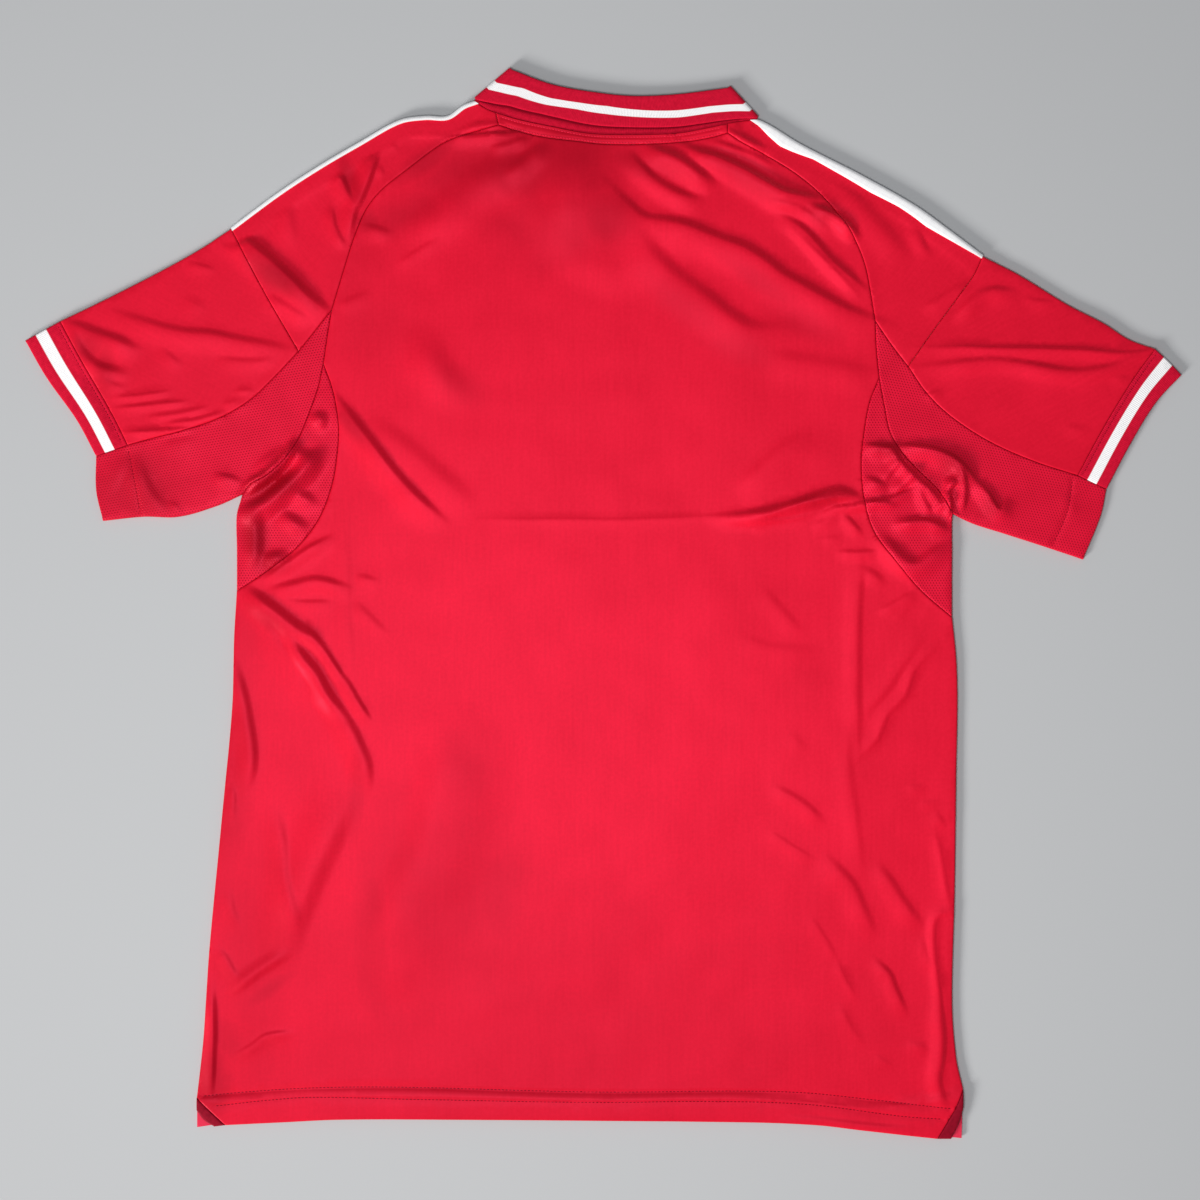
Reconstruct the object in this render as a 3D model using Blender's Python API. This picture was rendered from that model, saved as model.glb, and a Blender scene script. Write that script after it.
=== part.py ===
"""A football jersey with a rib collar, laid flat on a surface with its back up.

It lies face down on the XY plane: +Z is up, +Y points to the collar and -X is the wearer's left.
The tables are in millimetres, as it lies, and the meshes in metres. The origin is the bottom centre.

Every seam is one named curve, and each piece of cloth is cut out between the seams round it. The back
of the jersey is the upper layer and the front the lower one. A yoke, sleeve, gusset or cuff goes round
the jersey's edge at its fold, so it lies in both layers. The two sides differ a little, as laid cloth does.
"""

import math
from collections import namedtuple

import bmesh
import bpy
from mathutils import Vector, geometry

MM = 0.001
WALL = 1.4  # cloth of the panels, yokes, sleeves and mesh
RIB = 1.2  # one thickness of the collar's rib strip
TAPE = 1.0  # the tape along each shoulder
GAP = 0.3  # clearance between two pieces that touch
HEM_EXTRA = 0.8  # how much thicker the cloth is where the hem is turned up
HEM_STEP = 2.0  # the width over which it thickens

BAND = 11.5  # the strip along the shoulder fold that stays smooth under its tape
BAND_RAMP = 5.0  # the width over which the cloth comes down from the tape
NECK_RAMP = 14.0  # the width over which the back comes down from the front collar

STEP = 13.0  # distance between two points along a seam
FOLD_STEP = 17.0  # and along a fold
LATTICE = 42.0  # distance between two points on plain cloth
EDGE_MARGIN = 3.0  # least distance of such a point from a seam
APART = 4.5  # least distance between two points on a fold
NOSE_ANGLES = (45, 0, -45)  # rings round a folded edge, in degrees above the horizontal
SHARP = math.radians(40)  # edges of the cloth that turn by more than this aren't shaded smooth

FALL_SHARE = 0.80  # how much of the collar's depth its fall covers at the middle
FALL_SHARE_ENDS = 0.94  # and at the two ends of the fold
TIP_SHARE = 0.12  # how much of the front half, at each end, its sewn edge takes to come level
TIP_TURNS = (45, 90, 135)  # the collar's sections round its two tips, in degrees

Cloth = namedtuple("Cloth", "colour roughness metallic")
CLOTHS = {
    "satin": Cloth((0.72, 0.012, 0.030), 0.45, 0.0),
    "mesh": Cloth((0.60, 0.010, 0.035), 0.60, 0.0),
    "rib": Cloth((0.56, 0.006, 0.030), 0.75, 0.0),
    "tape": Cloth((0.90, 0.90, 0.92), 0.50, 0.0),
    "vent_tape": Cloth((0.20, 0.004, 0.012), 0.70, 0.0),
}

# Where seams meet: name, x and y
CORNERS = {
    "neck_end_left": (-93, 364),
    "neck_end_right": (111, 351),
    "raglan_top_left": (-78, 356),
    "raglan_top_right": (90, 348),
    "binding_foot_left": (-76, 347),
    "binding_foot_right": (90, 341),
    "shoulder_point_left": (-270, 272),
    "shoulder_point_right": (275, 252),
    "yoke_foot_left": (-221, 183),
    "yoke_foot_right": (221, 172),
    "mesh_top_left": (-197, 213),
    "mesh_top_right": (197, 205),
    "gusset_top_left": (-203, 174),
    "gusset_top_right": (200, 164),
    "armpit_left": (-262, 79),
    "armpit_right": (253, 65),
    "gusset_foot_left": (-266, 9),
    "gusset_foot_right": (253, -10),
    "cuff_top_left": (-394, 205),
    "cuff_top_right": (400, 185),
    "cuff_tip_left": (-419.5, 191),
    "cuff_tip_right": (419.5, 166),
    "cuff_foot_left": (-345, 115),
    "cuff_foot_right": (344, 93),
    "cuff_end_left": (-368, 107),
    "cuff_end_right": (365, 83),
    "sleeve_end_left": (-363, 60),
    "sleeve_end_right": (348, 32),
    "vent_top_left": (-295, -358),
    "vent_top_right": (261, -352),
    "vent_side_left": (-295, -367),
    "vent_side_right": (261, -365),
    "vent_foot_left": (-282, -379),
    "vent_foot_right": (252, -388),
    "hem_left": (-274, -378),
    "hem_right": (242, -388),
    "front_corner_left": (-295, -380),
    "front_corner_right": (260, -388),
}

# The seams, folds and edges: the corners at the two ends, and the points between them
Seam = namedtuple("Seam", "start end through")
SEAMS = {
    "neck_left": Seam("neck_end_left", "raglan_top_left", [(-85, 359)]),
    "neck_back": Seam(
        "raglan_top_left",
        "raglan_top_right",
        [(-61, 351), (-37, 346), (-10, 341), (18, 340), (53, 341), (76, 345)],
    ),
    "neck_right": Seam("raglan_top_right", "neck_end_right", [(100, 350)]),
    "neck_front": Seam(
        "binding_foot_left",
        "binding_foot_right",
        [(-64, 316), (-44, 284), (-18, 256), (8, 243), (35, 256), (63, 283), (82, 316)],
    ),
    "binding_end_left": Seam("raglan_top_left", "binding_foot_left", []),
    "binding_end_right": Seam("raglan_top_right", "binding_foot_right", []),
    "binding_edge": Seam(
        "binding_foot_left",
        "binding_foot_right",
        [(-60, 342), (-42, 338), (-18, 335), (0, 333), (34, 333), (62, 335), (79, 338)],
    ),
    "raglan_left": Seam(
        "binding_foot_left",
        "mesh_top_left",
        [(-104, 339), (-118, 333), (-141, 316), (-161, 300), (-172, 286), (-181, 265), (-188, 243)],
    ),
    "raglan_right": Seam(
        "binding_foot_right",
        "mesh_top_right",
        [(99, 335), (118, 325), (142, 310), (161, 293), (179, 270), (189, 248), (194, 224)],
    ),
    "armhole_top_left": Seam("mesh_top_left", "gusset_top_left", [(-200, 195)]),
    "armhole_top_right": Seam("mesh_top_right", "gusset_top_right", [(198, 184)]),
    "armhole_left": Seam(
        "gusset_top_left",
        "armpit_left",
        [(-207, 156), (-213, 139), (-220, 122), (-230, 105), (-243, 93), (-255, 87)],
    ),
    "armhole_right": Seam(
        "gusset_top_right",
        "armpit_right",
        [(204, 142), (208, 124), (217, 109), (229, 96), (243, 82)],
    ),
    "gusset_left": Seam(
        "gusset_top_left",
        "gusset_foot_left",
        [(-196, 154), (-192, 130), (-193, 108), (-197, 85), (-206, 62), (-221, 42), (-242, 25)],
    ),
    "gusset_right": Seam(
        "gusset_top_right",
        "gusset_foot_right",
        [(193, 146), (189, 124), (187, 102), (189, 76), (196, 53), (211, 32), (231, 9)],
    ),
    "shoulder_left": Seam(
        "neck_end_left",
        "shoulder_point_left",
        [(-101, 361), (-113, 353), (-129, 353), (-148, 350), (-177, 334), (-206, 317), (-235, 298)],
    ),
    "shoulder_right": Seam(
        "neck_end_right",
        "shoulder_point_right",
        [(121, 346), (142, 333), (187, 310), (226, 288), (251, 270)],
    ),
    "yoke_seam_left": Seam("shoulder_point_left", "yoke_foot_left", [(-247, 228)]),
    "yoke_seam_right": Seam(
        "shoulder_point_right", "yoke_foot_right", [(269, 239), (257, 222), (240, 199)]
    ),
    "mesh_upper_left": Seam("mesh_top_left", "yoke_foot_left", []),
    "mesh_upper_right": Seam("mesh_top_right", "yoke_foot_right", [(208, 189)]),
    "mesh_edge_left": Seam(
        "yoke_foot_left",
        "cuff_foot_left",
        [(-237, 166), (-256, 148), (-278, 135), (-307, 125), (-327, 120)],
    ),
    "mesh_edge_right": Seam(
        "yoke_foot_right", "cuff_foot_right", [(235, 152), (253, 135), (281, 117), (313, 103)]
    ),
    "sleeve_top_left": Seam(
        "shoulder_point_left", "cuff_top_left", [(-293, 257), (-318, 243), (-343, 230), (-369, 217)]
    ),
    "sleeve_top_right": Seam(
        "shoulder_point_right", "cuff_top_right", [(301, 239), (337, 217), (364, 203), (381, 192)]
    ),
    "cuff_seam_left": Seam("cuff_top_left", "cuff_foot_left", [(-377, 174), (-356, 137)]),
    "cuff_seam_right": Seam("cuff_top_right", "cuff_foot_right", [(383, 161), (364, 130)]),
    "cuff_fold_left": Seam("cuff_top_left", "cuff_tip_left", []),
    "cuff_fold_right": Seam("cuff_top_right", "cuff_tip_right", [(409, 177)]),
    "cuff_edge_left": Seam("cuff_tip_left", "cuff_end_left", [(-404, 164), (-382, 133)]),
    "cuff_edge_right": Seam("cuff_tip_right", "cuff_end_right", [(401, 146), (383, 117)]),
    "cuff_join_left": Seam("cuff_foot_left", "cuff_end_left", []),
    "cuff_join_right": Seam("cuff_foot_right", "cuff_end_right", []),
    "sleeve_edge_left": Seam("cuff_end_left", "sleeve_end_left", [(-368, 82)]),
    "sleeve_edge_right": Seam("cuff_end_right", "sleeve_end_right", [(361, 64)]),
    "sleeve_under_left": Seam(
        "sleeve_end_left", "armpit_left", [(-334, 63), (-308, 63), (-280, 71)]
    ),
    "sleeve_under_right": Seam(
        "sleeve_end_right", "armpit_right", [(318, 42), (290, 51), (268, 58)]
    ),
    "side_fold_left": Seam("armpit_left", "gusset_foot_left", [(-266, 64), (-266, 39)]),
    "side_fold_right": Seam("armpit_right", "gusset_foot_right", [(253, 43), (253, 14)]),
    "side_left": Seam(
        "gusset_foot_left",
        "vent_top_left",
        [(-268, -26), (-269, -70), (-277, -157), (-286, -251), (-290, -313)],
    ),
    "side_right": Seam(
        "gusset_foot_right",
        "vent_top_right",
        [(256, -39), (257, -70), (256, -128), (255, -205), (253, -287), (256, -329)],
    ),
    "vent_left": Seam("vent_top_left", "hem_left", [(-287, -366)]),
    "vent_right": Seam("vent_top_right", "hem_right", [(255, -366)]),
    "vent_edge_left": Seam("vent_top_left", "vent_side_left", []),
    "vent_edge_right": Seam("vent_top_right", "vent_side_right", []),
    "vent_outer_left": Seam("vent_side_left", "vent_foot_left", [(-290, -374)]),
    "vent_outer_right": Seam("vent_side_right", "vent_foot_right", [(258, -376)]),
    "vent_hem_left": Seam("vent_foot_left", "hem_left", []),
    "vent_hem_right": Seam("vent_foot_right", "hem_right", []),
    "hem_back": Seam(
        "hem_left",
        "hem_right",
        [(-232, -376), (-190, -374), (-113, -374), (106, -376), (155, -378), (190, -382), (224, -386)],
    ),
    "front_side_left": Seam("vent_top_left", "front_corner_left", []),
    "front_side_right": Seam("vent_top_right", "front_corner_right", []),
    "hem_front": Seam(
        "front_corner_left",
        "front_corner_right",
        [(-258, -375), (-190, -372), (-3, -373), (106, -374), (155, -376), (200, -382)],
    ),
}

# Curves that no piece is cut along
HEM_LINE = [(-299, -355), (-258, -354), (-152, -350), (-3, -354), (100, -353), (197, -360), (266, -350)]
COLLAR_FOLD_BACK = [(-66, 387), (-37, 375), (-7, 369), (21, 367), (53, 368), (90, 372)]
COLLAR_FOLD_FRONT = [
    (90, 372), (73, 365), (63, 347), (50, 325), (32, 304), (10, 294),
    (-11, 305), (-30, 328), (-42, 349), (-50, 367), (-66, 387),
]  # fmt: skip

# The pieces: the first seam of a piece in both layers is its fold
Piece = namedtuple("Piece", "name layer cloth seams")
BOTH, UPPER, LOWER = "both", "upper", "lower"
PIECES = [
    Piece("neck_binding", UPPER, "satin", "neck_back binding_end_right binding_edge binding_end_left"),
    Piece(
        "back_panel",
        UPPER,
        "satin",
        "binding_edge raglan_right armhole_top_right gusset_right side_right vent_right hem_back"
        " vent_left side_left gusset_left armhole_top_left raglan_left",
    ),
    Piece(
        "front_panel",
        LOWER,
        "satin",
        "neck_front raglan_right armhole_top_right gusset_right side_right front_side_right hem_front"
        " front_side_left side_left gusset_left armhole_top_left raglan_left",
    ),
    Piece("yoke_{side}", BOTH, "satin", "shoulder_{side} yoke_seam_{side} mesh_upper_{side}"
          " raglan_{side} binding_end_{side} neck_{side}"),
    Piece("sleeve_{side}", BOTH, "satin", "sleeve_top_{side} cuff_seam_{side} mesh_edge_{side}"
          " yoke_seam_{side}"),
    Piece("sleeve_mesh_{side}", BOTH, "mesh", "sleeve_under_{side} armhole_{side} armhole_top_{side}"
          " mesh_upper_{side} mesh_edge_{side} cuff_join_{side} sleeve_edge_{side}"),
    Piece("side_mesh_{side}", BOTH, "mesh", "side_fold_{side} gusset_{side} armhole_{side}"),
    Piece("cuff_{side}", BOTH, "rib", "cuff_fold_{side} cuff_edge_{side} cuff_join_{side}"
          " cuff_seam_{side}"),
    Piece("vent_tape_{side}", UPPER, "vent_tape", "vent_{side} vent_hem_{side} vent_outer_{side}"
          " vent_edge_{side}"),
]  # fmt: skip

# The tape's reach from the shoulder fold, on top and underneath, along its way from the neck
Reach = namedtuple("Reach", "share top under")
TAPE_REACH = {
    "left": [Reach(0, 2.4, 4), Reach(0.15, 2.4, 7), Reach(0.3, 2.4, 10), Reach(1, 2.2, 10)],
    "right": [
        Reach(0, 2.5, 3), Reach(0.06, 6.5, 4), Reach(0.12, 8.5, 5), Reach(0.25, 4.9, 7),
        Reach(0.50, 7.4, 6), Reach(0.62, 6.5, 7), Reach(0.75, 7.6, 6), Reach(1, 1.9, 4),
    ],
}  # fmt: skip

# The largest folds of the back: the middle of the steep side, which faces the upper right, the widths
# of the steep and the gentle side, and the height of the crest between them
HIGH_FOLD = 4.5
Fold = namedtuple("Fold", "start middle end steep gentle height")
FOLDS = [
    Fold((-262, 262), (-230, 240), (-202, 213), 10, 12, 5),  # across the left yoke
    Fold((-193, 320), (-184, 300), (-175, 278), 7, 10, 4),  # beside the left raglan seam
    Fold((32, 330), (59, 318), (83, 303), 9, 12, 4),  # from the right of the neck
    Fold((58, 330), (103, 313), (157, 292), 9, 13, 6),
    Fold((32, 311), (49, 301), (69, 293), 7, 10, 3),
    Fold((142, 275), (166, 252), (190, 227), 9, 10, 3.5),
    Fold((26, 281), (106, 259), (195, 206), 14, 19, 6),  # the long drag to the right armhole
    Fold((30, 267), (70, 227), (110, 203), 20, 25, 4),
    Fold((-195, 154), (-158, 106), (-118, 65), 10, 16, 5),  # from the left gusset's top
    Fold((63, 61), (135, 73), (204, 81), 13, 16, 6.5),  # the crease to the right armpit
    Fold((-260, 13), (-220, -15), (-169, -83), 9, 10, 5.5),  # the fan from the left gusset's foot
    Fold((-216, -32), (-187, -73), (-162, -146), 10, 14, 4),
    Fold((-240, 14), (-211, 19), (-184, 14), 9, 9, 3),
    Fold((-266, -37), (-256, -81), (-255, -135), 10, 10, 3),  # the rolls down the left side
    Fold((-162, -139), (-195, -192), (-259, -293), 25, 29, 5),
    Fold((-283, -273), (-279, -309), (-284, -348), 7, 7, 2.5),
    Fold((192, -83), (210, -56), (232, -26), 7, 10, 3),  # the pair under the right gusset
    Fold((186, -113), (214, -81), (238, -35), 7, 10, 3),
    Fold((122, -130), (144, -142), (161, -158), 10, 13, 2.5),  # down the right side
    Fold((164, -180), (182, -208), (202, -244), 10, 14, 2.5),
    Fold((195, -251), (211, -273), (221, -303), 9, 12, 3),
    Fold((240, -151), (245, -237), (247, -345), 9, 9, 4),
    Fold((-254, 77), (-229, 90), (-211, 133), 10, 10, 5),  # under the left arm
    Fold((-256, 69), (-254, 43), (-254, 17), 7, 7, 3),
    Fold((190, 114), (224, 113), (260, 103), 9, 10, 6),  # under the right arm
    Fold((257, 106), (272, 91), (285, 67), 9, 10, 5),
    Fold((187, 75), (219, 78), (244, 85), 6, 7, 4),
    Fold((202, 52), (224, 32), (248, 48), 9, 10, 3),
    Fold((226, 187), (301, 185), (378, 182), 6, 9, 2.5),  # along the right sleeve
    Fold((233, 173), (309, 174), (378, 173), 9, 10, 2.5),
    Fold((-390, 205), (-364, 196), (-332, 185), 9, 12, 3.5),  # from the left cuff
    Fold((-384, 194), (-374, 175), (-356, 151), 7, 9, 3),
    Fold((-329, 198), (-274, 194), (-226, 183), 10, 14, 2.5),
]

COLLAR_STACK = 2 * RIB + 1.5 * GAP  # from the middle of the collar's ring to its outside
COLLAR_LIFT = COLLAR_STACK - GAP / 2 - WALL  # how far the front collar rises over the front panel


def ease(share):
    """0 below 0, 1 above 1 and a smooth step between them."""
    share = min(1.0, max(0.0, share))
    return share * share * (3 - 2 * share)


def smooth(points, step=STEP):
    """A smooth curve through these points, which are among its own."""
    points = [Vector(p) for p in points]
    slopes = []
    for i, here in enumerate(points):
        before, after = points[max(i - 1, 0)], points[min(i + 1, len(points) - 1)]
        slopes.append((after - before) / ((after - here).length + (here - before).length))
    curve = [points[0]]
    for start, end, leave, arrive in zip(points, points[1:], slopes, slopes[1:]):
        length = (end - start).length
        count = max(1, round(length / step))
        for i in range(1, count + 1):
            t = i / count
            curve.append(
                start * (2 * t**3 - 3 * t**2 + 1)
                + end * (3 * t**2 - 2 * t**3)
                + leave * length * (t**3 - 2 * t**2 + t)
                + arrive * length * (t**3 - t**2)
            )
    return curve


def seam_curve(seam):
    return smooth([CORNERS[seam.start], *seam.through, CORNERS[seam.end]])


CURVES = {name: seam_curve(seam) for name, seam in SEAMS.items()}
HALF_WIDTH = max(abs(x) for x, y in CORNERS.values())
HALF_LENGTH = max(abs(y) for x, y in CORNERS.values())
HEM_CURVE = smooth(HEM_LINE)
FOLD_PATHS = [smooth([f.start, f.middle, f.end], FOLD_STEP) for f in FOLDS]


def chain(names):
    """These seams end to end, as points, and the seam that runs on from each but the last."""
    first, second = SEAMS[names[0]], SEAMS[names[1]]
    corner = first.start if first.end in (second.start, second.end) else first.end
    points, owners = [], []
    for name in names:
        seam, curve = SEAMS[name], CURVES[name]
        if seam.start == corner:
            corner = seam.end
        else:
            corner = seam.start
            curve = curve[::-1]
        points += curve[:-1]
        owners += [name] * (len(curve) - 1)
    return points + [curve[-1]], owners


def outline(names):
    """The closed loop of these seams, anticlockwise from the start of the first one."""
    points, owners = chain(names)
    points.pop()
    count = len(points)
    turned = sum(points[i - 1].cross(points[i]) for i in range(count))
    if turned < 0:
        points = points[::-1]
        owners = [owners[(count - 2 - i) % count] for i in range(count)]
    start = next(i for i in range(count) if owners[i] == names[0] and owners[i - 1] != names[0])
    return points[start:] + points[:start], owners[start:] + owners[:start]


def left_of(direction):
    return Vector((-direction.y, direction.x)).normalized()


def corner_move(arrive, leave, arrive_depth, leave_depth):
    """How far a corner moves so that the edge before it and the edge after it move left by these depths."""
    first, second = left_of(arrive), left_of(leave)
    cross = first.cross(second)
    if abs(cross) < 0.001:
        return first * arrive_depth
    x = arrive_depth * second.y - leave_depth * first.y
    y = leave_depth * first.x - arrive_depth * second.x
    return Vector((x, y)) / cross


def inset(points, owners, fold, depth):
    """The loop moved inwards, by depth along its fold and by half a gap along its other edges."""
    moved = []
    for i, here in enumerate(points):
        arrive, leave = here - points[i - 1], points[(i + 1) % len(points)] - here
        depths = [depth if owner == fold else GAP / 2 for owner in (owners[i - 1], owners[i])]
        moved.append(here + corner_move(arrive, leave, *depths))
    return moved


def aside(path, depth):
    """An open path moved to its left by depth, or to its right where depth is below 0."""
    steps = [b - a for a, b in zip(path, path[1:])]
    arrivals, departures = [steps[0], *steps], [*steps, steps[-1]]
    return [p + corner_move(a, b, depth, depth) for p, a, b in zip(path, arrivals, departures)]


def at_share(path, share):
    """The point at this share of a path's length."""
    lengths = [(b - a).length for a, b in zip(path, path[1:])]
    left = share * sum(lengths)
    for a, b, length in zip(path, path[1:], lengths):
        if left <= length:
            return a.lerp(b, left / length)
        left -= length
    return path[-1]


def nearest(path, point):
    """A point's distance from a path, positive to its left, and the share of the path that it is at."""
    best = (1e9, 0.0)
    last = len(path) - 1
    for i in range(last):
        a, run = path[i], path[i + 1] - path[i]
        t = min(1.0, max(0.0, (point - a).dot(run) / run.length_squared))
        away = point - a - run * t
        if away.length < abs(best[0]):
            side = 1.0 if run.cross(away) >= 0 else -1.0
            best = (side * max(away.length, 1e-9), (i + t) / last)
    return best


def inside(loop, point):
    crossings = 0
    for i, b in enumerate(loop):
        a = loop[i - 1]
        if (a.y > point.y) != (b.y > point.y):
            crossings += point.x < a.x + (point.y - a.y) / (b.y - a.y) * (b.x - a.x)
    return crossings % 2 == 1


NECK_LOOP = (
    chain(["neck_left", "neck_back", "neck_right"])[0]
    + chain(["binding_end_right", "neck_front", "binding_end_left"])[0]
)


def tape_rise(point):
    """How high the lower layer lies over the part of the shoulder tape that is under it."""
    distance = min(abs(nearest(CURVES[f"shoulder_{side}"], point)[0]) for side in ("left", "right"))
    return (TAPE + GAP) * ease(1 - (distance - BAND) / BAND_RAMP)


def neck_rise(point):
    """How far the upper layer is lifted by the front of the collar under it."""
    if inside(NECK_LOOP, point):
        return COLLAR_LIFT
    return COLLAR_LIFT * ease(1 - abs(nearest(NECK_LOOP, point)[0]) / NECK_RAMP)


def hem_extra(point):
    """How much thicker the cloth is at this point, in the turned-up hem."""
    return HEM_EXTRA * ease(-nearest(HEM_CURVE, point)[0] / HEM_STEP)


def steep_side(path):
    """1 where the upper right lies to the left of this path, and -1 where it lies to its right."""
    return 1.0 if left_of(path[-1] - path[0]).dot(Vector((1, 1))) > 0 else -1.0


def fold_rise(point):
    """The height of the folds at this point. They die out before the shoulder tapes."""
    total = 0.0
    for fold, path in zip(FOLDS, FOLD_PATHS):
        reach = (path[-1] - path[0]).length / 2 + fold.steep + fold.gentle
        if (point - (path[0] + path[-1]) / 2).length > reach:
            continue
        away, share = nearest(path, point)
        across = away * steep_side(path) + fold.steep / 2
        width = fold.steep if across > 0 else fold.gentle
        if abs(across) < width:
            along = max(0.0, math.sin(math.pi * share)) ** 0.7
            total += fold.height * along * (1 + math.cos(math.pi * across / width)) / 2
    return total and total * (1 - tape_rise(point) / (TAPE + GAP))


def lower_layer(point):
    """The height of the lower layer's underside and of its upper side."""
    under = tape_rise(point)
    return under, under + WALL + hem_extra(point)


def upper_layer(point):
    """The height of the upper layer's underside and of its upper side."""
    rise = fold_rise(point)
    slope = Vector([fold_rise(point + step) - rise for step in (Vector((1, 0)), Vector((0, 1)))])
    extra = hem_extra(point)
    under = WALL + extra + GAP + max(tape_rise(point), neck_rise(point)) + rise
    return under, under + (WALL + extra) * math.sqrt(1 + min(slope.length_squared, 1.0))


def fold_points():
    """Points along each fold: its crest, its two feet and, on a high one, the middles of its sides."""
    found = []
    for fold, path in zip(FOLDS, FOLD_PATHS):
        crest = -fold.steep / 2
        lines = [crest, fold.steep / 2, crest - fold.gentle]
        if fold.height > HIGH_FOLD:
            lines += [0, crest - fold.gentle / 2]
        for across in lines:
            found += aside(path, across * steep_side(path))
    return found


def hem_points():
    return HEM_CURVE + aside(HEM_CURVE, -HEM_STEP)


def band_points():
    """Points where the cloth comes down from the shoulder tapes."""
    found = []
    for side, inwards in (("left", 1), ("right", -1)):
        for depth in (BAND, BAND + BAND_RAMP):
            found += aside(CURVES[f"shoulder_{side}"], inwards * depth)
    return found


def neck_points():
    """Points where the back comes down from the front of the collar."""
    return CURVES["neck_front"] + aside(CURVES["neck_front"], -NECK_RAMP)


def lattice_points():
    """An even lattice over the whole jersey, every second row moved along by half a step."""
    columns, rows = round(HALF_WIDTH / LATTICE) + 1, round(HALF_LENGTH / LATTICE) + 1
    return [
        Vector((i + j % 2 / 2, j)) * LATTICE
        for i in range(-columns, columns)
        for j in range(-rows, rows)
    ]


Spread = namedtuple("Spread", "points apart margin")


def inner_points(loop, layer):
    """The points of a piece within its outline, on its folds and ramps first and then on plain cloth."""
    groups = [Spread(hem_points(), HEM_STEP * 0.8, EDGE_MARGIN), Spread(band_points(), APART, EDGE_MARGIN)]
    if layer != LOWER:
        groups.append(Spread(fold_points() + neck_points(), APART, EDGE_MARGIN))
        groups.append(Spread(lattice_points(), LATTICE / 2, LATTICE / 4))
    low = Vector((min(p.x for p in loop), min(p.y for p in loop)))
    high = Vector((max(p.x for p in loop), max(p.y for p in loop)))
    kept = []
    for group in groups:
        for p in group.points:
            if not (low.x < p.x < high.x and low.y < p.y < high.y and inside(loop, p)):
                continue
            clear = all((p - q).length > group.apart for q in kept)
            if clear and abs(nearest(loop, p)[0]) > group.margin:
                kept.append(p)
    return kept


def triangles(loop, inner):
    """The triangles between these points, anticlockwise, within the loop."""
    count = len(loop)
    rim = [(i, (i + 1) % count) for i in range(count)]
    result = geometry.delaunay_2d_cdt(loop + inner, rim, [], 1, 1e-6)
    source = [origins[0] for origins in result[3]]
    faces = []
    for face in result[2]:
        a, b, c = (result[0][v] for v in face)
        order = face if (b - a).cross(c - a) > 0 else face[::-1]
        faces.append(tuple(source[v] for v in order))
    return faces


def closed_wall(outer, inner, faces):
    """One closed body between two skins that have the same faces."""
    count = len(outer)
    edges = {(face[i - 1], face[i]) for face in faces for i in range(len(face))}
    rim = [(b, a, a + count, b + count) for a, b in edges if (b, a) not in edges]
    back = [tuple(v + count for v in reversed(face)) for face in faces]
    return outer + inner, faces + back + sorted(rim)


def raised(points, heights):
    return [Vector((p.x, p.y, z)) for p, z in zip(points, heights)]


def nose_rings(edge, inward, outer_span, inner_span, thickness):
    """The rings round a folded edge, as outer and inner points, from the upper layer to the lower one."""
    outer, inner = [], []
    for angle in NOSE_ANGLES:
        rise, reach = math.sin(math.radians(angle)), math.cos(math.radians(angle))
        for p, into, (low, high), (low_in, high_in) in zip(edge, inward, outer_span, inner_span):
            near = p + into * (WALL - thickness * reach)
            outer.append((*near, (low + high) / 2 + (high - low) / 2 * rise))
            near = p + into * (WALL - (thickness - WALL) * reach)
            inner.append((*near, (low_in + high_in) / 2 + (high_in - low_in) / 2 * rise))
    return [Vector(p) for p in outer], [Vector(p) for p in inner]


def ring_faces(rows):
    """The quads between each row of point numbers and the next."""
    return [
        (a[i + 1], a[i], b[i], b[i + 1]) for a, b in zip(rows, rows[1:]) for i in range(len(a) - 1)
    ]


def layered_piece(piece, names):
    """The walls of a piece in one layer, or in both of them and round its fold."""
    points, owners = outline(names)
    fold = names[0] if piece.layer == BOTH else None
    edge = inset(points, owners, fold, 0)
    inward = [b - a for a, b in zip(edge, inset(points, owners, fold, 1))]
    loop = [p + into * WALL for p, into in zip(edge, inward)]
    plan = loop + inner_points(loop, piece.layer)
    faces = triangles(loop, plan[len(loop) :])
    if piece.layer == LOWER:
        heights = [lower_layer(p) for p in plan]
        return closed_wall(
            raised(plan, [h[0] for h in heights]),
            raised(plan, [h[1] for h in heights]),
            [face[::-1] for face in faces],
        )
    upper = [upper_layer(p) for p in plan]
    outer = raised(plan, [h[1] for h in upper])
    inner = raised(plan, [h[0] for h in upper])
    if piece.layer == UPPER:
        return closed_wall(outer, inner, faces)
    lower = [lower_layer(p) for p in plan]
    turn = owners.count(fold) + 1
    outer_span = [(lower[k][0], upper[k][1]) for k in range(turn)]
    inner_span = [(lower[k][1], upper[k][0]) for k in range(turn)]
    rings = nose_rings(edge, inward, outer_span, inner_span, WALL)
    first_under = len(plan) + len(rings[0])
    rows = [list(range(turn))]
    rows += [[len(plan) + turn * r + k for k in range(turn)] for r in range(len(NOSE_ANGLES))]
    rows += [[first_under + k for k in range(turn)]]
    under_faces = [tuple(first_under + v for v in reversed(face)) for face in faces]
    return closed_wall(
        outer + rings[0] + raised(plan, [h[0] for h in lower]),
        inner + rings[1] + raised(plan, [h[1] for h in lower]),
        faces + ring_faces(rows) + under_faces,
    )


def tape_reach(side, share):
    """The tape's reach from the fold at this share of its length, on top and underneath."""
    table = TAPE_REACH[side]
    for a, b in zip(table, table[1:]):
        if share <= b.share:
            t = (share - a.share) / (b.share - a.share)
            return a.top + (b.top - a.top) * t, a.under + (b.under - a.under) * t
    return table[-1].top, table[-1].under


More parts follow.
